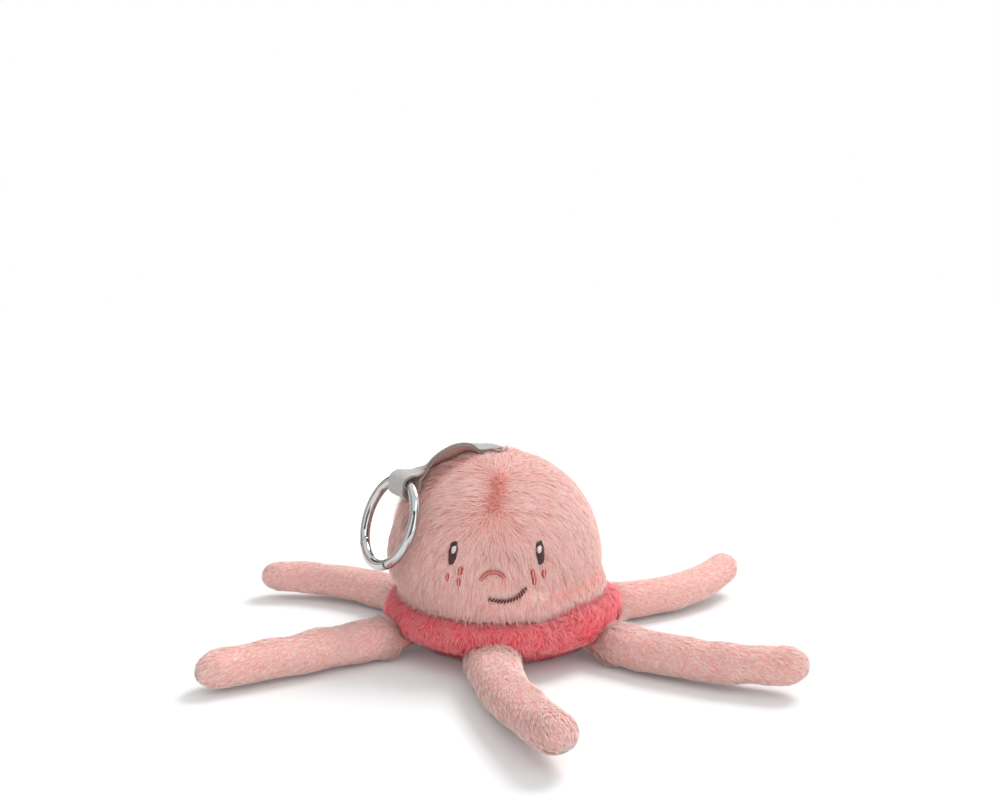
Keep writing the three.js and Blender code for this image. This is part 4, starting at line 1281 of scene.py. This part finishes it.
def on_wire(s, angle, out=0.0):
    radius = (s["ring_bore"] + s["ring_wire"]) / 2 + out
    return np.array([math.sin(math.radians(angle)), math.cos(math.radians(angle)), 0]) * radius


def wire_arc(s, name, first, last):
    """A length of the ring's wire: a circle spun round the ring's axis."""
    clear_selection()
    radius = (s["ring_bore"] + s["ring_wire"]) / 2 * MM
    bpy.ops.mesh.primitive_circle_add(
        vertices=32, radius=s["ring_wire"] / 2 * MM, fill_type="NGON", location=(0, radius, 0),
        rotation=(0, math.pi / 2, 0),
    )
    obj = bpy.context.object
    obj.name = obj.data.name = name
    bpy.ops.object.transform_apply(location=True, rotation=True, scale=True)
    obj.data.transform(Matrix.Rotation(-math.radians(first), 4, "Z"))
    bpy.ops.object.mode_set(mode="EDIT")
    bpy.ops.mesh.select_all(action="SELECT")
    steps = int((last - first) / 2.2)
    bpy.ops.mesh.spin(steps=steps, angle=math.radians(last - first), center=(0, 0, 0), axis=(0, 0, 1))
    face_outwards(obj, merge=1e-7)
    return obj


def cutter_bar(radius, length, at, along=(0, 0, 1)):
    clear_selection()
    bpy.ops.mesh.primitive_cylinder_add(vertices=32, radius=radius * MM, depth=length * MM)
    obj = bpy.context.object
    turn = Vector((0, 0, 1)).rotation_difference(Vector(along)).to_matrix().to_4x4()
    obj.data.transform(Matrix.Translation(Vector(at) * MM) @ turn)
    return obj


def cutter_prism(origin, along, across, outline, thick):
    """A block with an outline in the plane of the ring."""
    mesh = bmesh.new()
    below = Vector((0, 0, thick / 2 * MM))
    corners = [Vector(origin + along * a + across * b) * MM - below for a, b in outline]
    face = mesh.faces.new([mesh.verts.new(p) for p in corners])
    raised = bmesh.ops.extrude_face_region(mesh, geom=[face])
    top = [v for v in raised["geom"] if isinstance(v, bmesh.types.BMVert)]
    bmesh.ops.translate(mesh, vec=(0, 0, thick * MM), verts=top)
    bmesh.ops.recalc_face_normals(mesh, faces=mesh.faces)
    data = bpy.data.meshes.new("cutter")
    mesh.to_mesh(data)
    mesh.free()
    obj = bpy.data.objects.new("cutter", data)
    bpy.context.scene.collection.objects.link(obj)
    return obj


def combine(obj, other, operation):
    """The other object is cut out of this one or joined to it, and is used up."""
    select_only(obj)
    modifier = obj.modifiers.new("cut", "BOOLEAN")
    modifier.operation = operation
    modifier.solver = "EXACT"
    modifier.object = other
    bpy.ops.object.modifier_apply(modifier=modifier.name)
    bpy.data.objects.remove(other)
    return obj


def softened(obj, width, angle=38):
    """Small bevels on the sharp edges, then smooth shading up to that angle."""
    select_only(obj)
    modifier = obj.modifiers.new("edges", "BEVEL")
    modifier.width = width * MM
    modifier.segments = 2
    modifier.limit_method = "ANGLE"
    modifier.angle_limit = math.radians(angle)
    modifier.harden_normals = False
    bpy.ops.object.modifier_apply(modifier=modifier.name)
    bpy.ops.object.shade_smooth_by_angle(angle=math.radians(angle))
    return obj


def chrome_material(c):
    """Plating with a faint smear in its colour and gloss."""
    material, tree, shader = new_material("Chrome plating", 0.08, metallic=1.0)
    where = add_node(tree, "ShaderNodeTexCoord")
    smear = add_node(tree, "ShaderNodeTexNoise", values={"Scale": 260.0, "Detail": 5.0})
    gloss = {"From Min": 0.35, "From Max": 0.75, "To Min": 0.05, "To Max": 0.16}
    rough = add_node(tree, "ShaderNodeMapRange", values=gloss)
    fine = add_node(tree, "ShaderNodeTexNoise", values={"Scale": 90.0, "Detail": 2.0})
    bump = add_node(tree, "ShaderNodeBump", values={"Strength": 0.12, "Distance": 0.0001})
    mix = mixer(tree, [v * 0.86 for v in c.chrome], c.chrome)
    link_all(
        tree,
        (where, "Object", smear, "Vector"), (where, "Object", fine, "Vector"), (smear, 0, rough, 0),
        (rough, 0, shader, "Roughness"), (smear, 0, mix, "Factor"), (mix, "Result", shader, "Base Color"),
        (fine, 0, bump, "Height"), (bump, 0, shader, "Normal"),
    )
    return material


class CHARM_OT_ring(bpy.types.Operator):
    """Spring gate ring with its gate, pin and spring"""

    bl_idname = "charm.ring"
    bl_label = "Ring"

    def execute(self, context):
        s, c = body_sizes(), context.scene.charm_colours
        wire = s["ring_wire"]
        nose = GATE_HINGE + GATE_SPAN
        pin, tip = on_wire(s, GATE_HINGE), on_wire(s, nose)
        chord = unit(tip - pin)
        outward = np.array([chord[1], -chord[0], 0])
        if outward @ tip < 0:
            outward = -outward
        slot = wire - 2 * FORK_CHEEK
        tongue = slot - 2 * TONGUE_CLEARANCE
        knuckle = wire / 2 + GATE_GAP
        room = wire * 2
        step, half = LIP / 2, GATE_GAP / 2
        towards = unit(on_wire(s, GATE_HINGE + 12) - pin)
        backwards = unit(on_wire(s, GATE_HINGE - 12) - pin)
        aside = np.array([-towards[1], towards[0], 0])

        gate = wire_arc(s, "gate_plated", GATE_HINGE, nose + 8)
        past_lip = [(room, -room), (room, room)]
        gate_end = [(-step - half, room), (-step - half, -half), (step - half, -half), (step - half, -room)]
        combine(gate, cutter_prism(tip, chord, outward, gate_end + past_lip, room), "DIFFERENCE")
        combine(gate, cutter_bar(knuckle, room, pin), "DIFFERENCE")
        radius = wire / 2 - TONGUE_CLEARANCE
        neck = radius * 0.8
        link = [(0, -neck), (knuckle + 0.5, -neck), (knuckle + 0.5, neck), (0, neck)]
        combine(gate, cutter_bar(radius, tongue, pin), "UNION")
        combine(gate, cutter_prism(pin, towards, aside, link, tongue), "UNION")
        combine(gate, cutter_bar(PIN / 2 + PIN_CLEARANCE, room, pin), "DIFFERENCE")

        body = wire_arc(s, "ring_plated", nose - 8, 360 + GATE_HINGE)
        before_lip = [(-room, room), (-room, -room)]
        body_end = [(step + half, -room), (step + half, half), (half - step, half), (half - step, room)]
        combine(body, cutter_prism(tip, chord, outward, body_end + before_lip, room), "DIFFERENCE")
        clear_selection()
        bpy.ops.mesh.primitive_uv_sphere_add(
            segments=32, ring_count=20, radius=wire / 2 * 1.015 * MM, location=tuple(pin * MM)
        )
        ball = bpy.context.object
        bpy.ops.object.transform_apply(location=True, rotation=True, scale=True)
        combine(body, ball, "UNION")
        combine(body, cutter_bar(knuckle, slot, pin), "DIFFERENCE")
        mouth = [(0, -knuckle), (knuckle * 2, -knuckle), (knuckle * 2, knuckle), (0, knuckle)]
        combine(body, cutter_prism(pin, towards, aside, mouth, slot), "DIFFERENCE")
        middle = pin + backwards * (knuckle + GATE_GAP - 1 + SPRING_BORE_DEPTH / 2)
        bore = cutter_bar(SPRING_BORE_RADIUS, SPRING_BORE_DEPTH, middle, along=tuple(backwards))
        combine(body, bore, "DIFFERENCE")
        combine(body, cutter_bar(PIN / 2 + PIN_CLEARANCE, room, pin), "DIFFERENCE")

        rivet = cutter_bar(PIN / 2, wire - 0.1, pin)
        rivet.name = rivet.data.name = "gate_rivet"
        for piece in (gate, body, rivet):
            softened(piece, EDGE_BEVEL)
        spring = self.spring(pin + backwards * knuckle, backwards)
        chrome = chrome_material(c)
        matrix = ring_matrix()
        for piece, ridden, material_slot, node in (
            (gate, "gate", "chrome", "ring_gate"), (body, "ring", "chrome", "ring_body"),
            (rivet, "ring", "steel", "gate_pin"), (spring, "ring", "steel", "gate_spring"),
        ):
            piece.data.transform(matrix)
            finish(piece, ridden, chrome, material_slot, node)
        return {"FINISHED"}

    def spring(self, start, along, diameter=1.25, thick=0.22, length=2.7, curls=3):
        """The gate's wound spring as one round wire."""
        turns = np.linspace(0, TAU * curls, curls * 24 + 1)
        side = unit(np.cross(along, UP))
        top = np.cross(side, along)
        radius = (diameter - thick) / 2
        path = (
            np.array(start) + np.outer(thick + (length - 2 * thick) * turns / turns[-1], along)
            + np.outer(np.cos(turns) * radius, side) + np.outer(np.sin(turns) * radius, top)
        )
        return stitched("gate_coil", [path], thick)


# Pieces: strap
LOOP_ANGLE = 6.0
LOOP_SKEW = 7.0
TAPE_GAP = 0.18
TAPE_RIB = 0.7
RIB_HEIGHT = 0.09
STRAP_SEAM = (1.2, 2.2)
STRAP_STATIONS = 140
# Crown end first: degrees round and up the dome, height over it as a share of the width, front edge
STRAP_ROUTE = [
    (-74.0, 79.6, 0.185, (0, -1, -0.1)), (-69.3, 74.2, 0.32, (0, -0.93, 0.36)),
    (-67.7, 67.7, 0.395, (0.05, -0.8, 0.6)), (-68.5, 60.8, 0.435, (0.12, -0.83, 0.54)),
    (-68.9, 55.0, 0.465, (0.25, -0.83, 0.42)), (-68.4, 50.0, 0.52, (0.45, -0.85, 0.12)),
]
# The loop from over the wire to under it: out, up and along, as shares of the wire and tape
LOOP_ROUTE = [
    (-1.05, 1.12, -0.1), (0.13, 1.18, 0), (1.28, 0.6, 0), (1.55, -0.6, 0), (1.4, -1.83, 0),
    (0.17, -2.6, 0), (-1.15, -2.04, 0), (-1.6, -0.96, 0), (-1.8, 0.09, -0.13),
]
# Half of the tape's section, as shares of its half width and half thickness
TAPE_SECTION = [
    (1, 0.45), (0.97, 0.9), (0.86, 1), (0.4, 1), (0, 1), (-0.4, 1), (-0.86, 1), (-0.97, 0.9), (-1, 0.45),
]


def strap_path(s):
    """Stations of the strap's one tape, out along one layer, round the wire and back."""
    matrix = np.array(ring_matrix().to_3x3())
    turn = math.radians(LOOP_ANGLE)
    wire = matrix @ on_wire(s, LOOP_ANGLE) + RING_CENTRE
    front = matrix @ np.array([math.cos(turn), -math.sin(turn), 0])
    front = np.array(Matrix.Rotation(math.radians(LOOP_SKEW), 3, "Z")) @ front
    layer = (s["tape_thickness"] + TAPE_GAP) / 2
    right, back = (math.sin(math.radians(a)) for a in STRAP_SEAM)
    up = unit(np.array([right, back, 1.0]))
    seam = dome_centre(s) + up * (s["dome_radius"] + 0.5 + layer)
    points = [over_dome(s, a, e, rise * s["tape_width"])[0] for a, e, rise, _ in STRAP_ROUTE]
    stations = curve_points([seam, *points], STRAP_STATIONS)
    along = unit(np.gradient(stations, axis=0))
    level = unit(np.cross(up, points[0] - seam))
    edges = np.array([level, *[unit(np.array(route[3])) for route in STRAP_ROUTE]])
    marks = [((stations - p) ** 2).sum(1).argmin() for p in [seam, *points]]
    edge = np.stack([np.interp(np.arange(STRAP_STATIONS), marks, edges[:, k]) for k in range(3)], 1)
    for _ in range(40):
        edge[1:-1] = (edge[:-2] + edge[1:-1] * 2 + edge[2:]) / 4
    edge = unit(across_from(edge, along))
    face = unit(np.cross(along, edge))
    outer, inner = stations + face * layer, stations - face * layer

    out = unit(np.cross(front, UP))
    out *= np.sign(out @ (wire - dome_centre(s)))
    lift = unit(np.cross(out, front))
    lift *= np.sign(lift[2])
    size = (s["ring_wire"] + s["tape_thickness"]) / 2
    loop = [wire + (out * x + lift * y + front * z) * size for x, y, z in LOOP_ROUTE]
    dense = curve_points([outer[-14], outer[-1], *loop, inner[-1], inner[-14]], 500)
    first = ((dense - outer[-1]) ** 2).sum(1).argmin()
    last = ((dense - inner[-1]) ** 2).sum(1).argmin()
    heading = unit(np.gradient(dense, axis=0))[first + 1 : last]
    dense = dense[first + 1 : last]
    place = np.arange(len(dense))
    share = smooth(np.minimum(place, place[::-1]) / (len(dense) * 0.18))[:, None]
    turned_edge = unit(across_from(edge[-1] * (1 - share) + front * share, heading))
    path = (
        np.vstack([outer, dense, inner[::-1]]), np.vstack([edge, turned_edge, edge[::-1]]),
        np.vstack([face, np.cross(heading, turned_edge), -face[::-1]]),
    )
    return path, seam


def tape_material(c, ribs):
    """Woven tape. Painted shade darkens the grooves between its ribs, together with weave noise, and runs
    along its edges. The return layer is painted browner, as painted shade with the fur's pink reflected in
    it.
    """
    material, tree, shader = new_material("Woven tape", 0.7, sheen=0.12, sheen_tint=c.tape, specular=0.3)
    place = add_node(tree, "ShaderNodeUVMap", {"uv_map": "OFBake"})
    split = add_node(tree, "ShaderNodeSeparateXYZ")
    turns = add_node(tree, "ShaderNodeMath", {"operation": "MULTIPLY"}, {1: TAU * ribs})
    ridge = add_node(tree, "ShaderNodeMath", {"operation": "COSINE"})
    where = add_node(tree, "ShaderNodeTexCoord")
    noise = add_node(tree, "ShaderNodeTexNoise", values={"Scale": 1300.0, "Detail": 3.0})
    weave = add_node(tree, "ShaderNodeMath", {"operation": "MULTIPLY_ADD"}, {1: 0.3})
    # Where the return layer runs, so that its painted shade is mixed in there
    inside = add_node(tree, "ShaderNodeMapRange", values={"From Min": 0.56, "From Max": 0.66})
    return_layer_shade = mixer(tree, c.tape, c.return_layer_shade)
    # Painted shade in the grooves between the ribs, mixed with weave noise that darkens at random
    groove_shade = ramp(tree, (0.0, 0.55), (0.75, 1), (1.0, 1))
    # Painted shade along the tape's edges, where the rim colour is mixed in
    rims = ramp(
        tree, (0.0, 1), (0.07, 1), (0.12, 0), (0.4, 0), (0.43, 1), (0.52, 1), (0.56, 0), (0.89, 0),
        (0.93, 1), (1.0, 1),
    )
    shaded = mixer(tree)
    shaded.blend_type = "MULTIPLY"
    shaded.inputs["Factor"].default_value = 1.0
    rim_shaded = mixer(tree, second=c.tape_rim_shade)
    bump = add_node(tree, "ShaderNodeBump", values={"Strength": 0.5, "Distance": 0.0001})
    link_all(
        tree,
        (place, 0, split, 0), (split, "Y", inside, 0), (split, "Y", turns, 0), (turns, 0, ridge, 0),
        (where, "Object", noise, "Vector"), (ridge, 0, weave, 0), (noise, 0, weave, 2),
        (inside, 0, return_layer_shade, "Factor"), (weave, 0, groove_shade, 0), (split, "X", rims, 0),
        (return_layer_shade, "Result", shaded, "A"), (groove_shade, "Color", shaded, "B"), (shaded, "Result", rim_shaded, "A"),
        (rims, "Color", rim_shaded, "Factor"), (rim_shaded, "Result", shader, "Base Color"),
        (noise, 0, bump, "Height"), (bump, 0, shader, "Normal"),
    )
    return material


class CHARM_OT_strap(bpy.types.Operator):
    """Ribbed tape strap, folded round the ring's wire"""

    bl_idname = "charm.strap"
    bl_label = "Strap"

    def execute(self, context):
        s, c = body_sizes(), context.scene.charm_colours
        path, seam = strap_path(s)
        steps = distances(path[0])
        length = steps[-1]
        count = int(length / TAPE_RIB) * 4
        at = np.linspace(0, length, count)
        middle, edge, face = (
            np.stack([np.interp(at, steps, values[:, k]) for k in range(3)], 1) for values in path
        )
        edge, face = unit(edge), unit(face)
        ridge = RIB_HEIGHT * np.cos(TAU * np.arange(count) / 4)
        half, thick = s["tape_width"] / 2, s["tape_thickness"] / 2
        section = TAPE_SECTION + [(x, -y) for x, y in TAPE_SECTION[::-1]]
        rings = []
        for x, y in section:
            lift = y * thick + (np.sign(y) * ridge if abs(x) < 0.9 else 0)
            rings.append(middle + edge * (x * half) + face * np.atleast_1d(lift)[:, None])
        rings = np.stack(rings, 1)
        sides, last = len(section), (count - 1) * len(section)
        body = rings.reshape(-1, 3)
        ends = np.array([rings[0].mean(0), rings[-1].mean(0)])
        quads, maps, caps, cap_maps = [], [], [], []
        for j in range(count - 1):
            foot, head = j * sides, (j + 1) * sides
            low, high = at[j] / length, at[j + 1] / length
            for k in range(sides):
                n = (k + 1) % sides
                left, right = k / sides, (k + 1) / sides
                quads.append((foot + k, head + k, head + n, foot + n))
                maps.append(((left, low), (left, high), (right, high), (right, low)))
        for k in range(sides):
            n = (k + 1) % sides
            caps += [(len(body), k, n), (len(body) + 1, last + n, last + k)]
            cap_maps += [((0, 0), (0.01, 0), (0, 0.01))] * 2
        faces, maps = [np.array(quads), np.array(caps)], [np.array(maps), np.array(cap_maps)]
        tape = mesh_from("strap_woven", np.vstack([body, ends]), faces, maps)
        face_outwards(tape)
        finish(tape, None, tape_material(c, (count - 1) / 4), "ribbed_tape", "strap_tape")
        direction = unit(path[0][12] - path[0][0])
        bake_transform(tape)
        return {"FINISHED"}


# Stage
CAMERA_PLACE = (-0.001362, -0.3845, 0.143254)
CAMERA_TILT = 82.555
CAMERA_LENS = 36.73
DARK, DIM, GREY = (0.02,) * 3, (0.12,) * 3, (0.28, 0.27, 0.26)
WARM, COOL = (0.5, 0.41, 0.35), (0.62, 0.9, 0.95)
# The point that the cards stand round and face
CARDS_ROUND = (-0.04, -0.02, 0.05)
# Each card's degrees round that point, distance, height, size and tone
CARDS = [
    (4, 0.95, 0.3, (0.14, 1.3), DARK), (-16, 0.95, 0.3, (0.08, 1.3), DARK),
    (24, 0.95, 0.3, (0.05, 1.3), DIM), (-6, 1.1, 0.3, (0.95, 1.2), GREY),
    (-58, 0.9, 0.35, (0.22, 1.0), COOL), (-95, 0.9, 0.3, (0.75, 1.0), WARM),
    (68, 0.9, 0.3, (0.6, 1.0), WARM), (-150, 0.9, 0.3, (0.8, 0.9), DIM),
    (150, 0.9, 0.3, (0.8, 0.9), DIM), (-20, 0.3, 1.0, (0.5, 0.5), COOL),
    (-10, 0.75, 0.8, (1.0, 0.14), DIM),
]


class CHARM_OT_stage(bpy.types.Operator):
    """Pale floor, soft light and the photograph's camera"""

    bl_idname = "charm.stage"
    bl_label = "Stage"

    def execute(self, context):
        scene = context.scene
        scene.view_settings.view_transform = "Standard"
        camera = bpy.data.cameras.new("camera")
        camera.sensor_width = 36
        camera.lens = CAMERA_LENS
        camera.clip_start = 0.01
        view = bpy.data.objects.new("camera", camera)
        view.location = CAMERA_PLACE
        view.rotation_euler = (math.radians(CAMERA_TILT), 0, 0)
        scene.collection.objects.link(view)
        scene.camera = view

        clear_selection()
        bpy.ops.mesh.primitive_plane_add(size=6, location=(0, 0, -0.0002))
        floor = context.object
        floor.name = "floor"
        floor.data.materials.append(self.floor_material())
        self.world(scene)
        self.lamp("key", 1.95, 28, (-0.52, -0.42, -0.9))
        self.lamp("fill", 0.9, 70, (-0.55, 0.75, -0.6))
        x, y, _ = CARDS_ROUND
        for i, (azimuth, distance, height, size, tone) in enumerate(CARDS):
            turn = math.radians(azimuth)
            place = (x + math.sin(turn) * distance, y - math.cos(turn) * distance, height)
            self.card(f"flag_{i + 1}", place, size, tone)
        return {"FINISHED"}

    def lamp(self, name, energy, spread, direction):
        """A soft far lamp, by its strength, its spread in degrees and the way it shines."""
        light = bpy.data.lights.new(name, "SUN")
        light.energy = energy
        light.angle = math.radians(spread)
        obj = bpy.data.objects.new(name, light)
        obj.rotation_euler = Vector(direction).to_track_quat("-Z", "Y").to_euler()
        bpy.context.scene.collection.objects.link(obj)

    def card(self, name, place, size, tone):
        """A card out of view that only mirror-bright metal shows."""
        clear_selection()
        bpy.ops.mesh.primitive_plane_add(size=1, location=place)
        obj = bpy.context.object
        obj.name = name
        obj.scale = (*size, 1)
        facing = Vector(CARDS_ROUND) - Vector(place)
        obj.rotation_euler = facing.to_track_quat("Z", "Y").to_euler()
        for ray in ("camera", "diffuse", "shadow", "transmission", "volume_scatter"):
            setattr(obj, f"visible_{ray}", False)
        material, _, shader = new_material(name, 1.0, specular=0.0)
        shader.inputs["Base Color"].default_value = (*tone, 1)
        obj.data.materials.append(material)

    def seen_directly(self, tree):
        path = tree.nodes.new("ShaderNodeLightPath")
        total = None
        for name in ("Is Camera Ray", "Is Glossy Ray", "Is Transmission Ray"):
            if total is None:
                total = path.outputs[name]
                continue
            both = add_node(tree, "ShaderNodeMath", {"operation": "ADD"})
            both.use_clamp = True
            tree.links.new(total, both.inputs[0])
            tree.links.new(path.outputs[name], both.inputs[1])
            total = both.outputs[0]
        return total

    def floor_material(self):
        """White to the camera and a little darker as a surface, so that it keeps the shadow."""
        material = bpy.data.materials.new("Pale floor")
        material.use_nodes = True
        tree = material.node_tree
        tree.nodes.clear()
        out = tree.nodes.new("ShaderNodeOutputMaterial")
        diffuse = add_node(tree, "ShaderNodeBsdfDiffuse", values={"Color": (0.75, 0.765, 0.765, 1)})
        glow = add_node(tree, "ShaderNodeEmission", values={"Color": (1, 1, 1, 1)})
        strength = add_node(tree, "ShaderNodeMath", {"operation": "MULTIPLY"}, {1: 0.06})
        both = tree.nodes.new("ShaderNodeAddShader")
        tree.links.new(self.seen_directly(tree), strength.inputs[0])
        link_all(
            tree,
            (strength, 0, glow, "Strength"), (diffuse, 0, both, 0), (glow, 0, both, 1),
            (both, 0, out, "Surface"),
        )
        return material

    def world(self, scene):
        """Soft light all round, and plain white where the background is seen."""
        world = bpy.data.worlds.new("studio")
        scene.world = world
        world.use_nodes = True
        tree = world.node_tree
        tree.nodes.clear()
        out = tree.nodes.new("ShaderNodeOutputWorld")
        light, shown = (
            add_node(tree, "ShaderNodeBackground", values={"Color": (1, 1, 1, 1), "Strength": strength})
            for strength in (0.78, 1.0)
        )
        mix = tree.nodes.new("ShaderNodeMixShader")
        tree.links.new(self.seen_directly(tree), mix.inputs[0])
        link_all(tree, (light, 0, mix, 1), (shown, 0, mix, 2), (mix, 0, out, "Surface"))


class CHARM_PT_panel(bpy.types.Panel):
    """Buttons that build the charm, piece by piece"""

    bl_idname = "CHARM_PT_panel"
    bl_label = "Plush jellyfish charm"
    bl_space_type = "VIEW_3D"
    bl_region_type = "UI"
    bl_category = "Charm"

    def draw(self, context):
        for operator in OPERATORS:
            self.layout.operator(operator.bl_idname)
        for settings in (context.scene.charm_sizes, context.scene.charm_colours):
            for key in settings.__annotations__:
                self.layout.prop(settings, key)


OPERATORS = (CHARM_OT_stage, CHARM_OT_body, CHARM_OT_arms, CHARM_OT_face, CHARM_OT_ring, CHARM_OT_strap)
CLASSES = (CharmSizes, CharmColours, *OPERATORS, CHARM_PT_panel)


def register():
    for each in CLASSES:
        bpy.utils.register_class(each)
    bpy.types.Scene.charm_sizes = PointerProperty(type=CharmSizes)
    bpy.types.Scene.charm_colours = PointerProperty(type=CharmColours)


def unregister():
    del bpy.types.Scene.charm_colours
    del bpy.types.Scene.charm_sizes
    for each in reversed(CLASSES):
        bpy.utils.unregister_class(each)


def main():
    register()
    bpy.ops.charm.stage()
    bpy.ops.charm.body()
    bpy.ops.charm.arms()
    bpy.ops.charm.face()
    bpy.ops.charm.ring()
    bpy.ops.charm.strap()


if __name__ == "__main__":
    main()
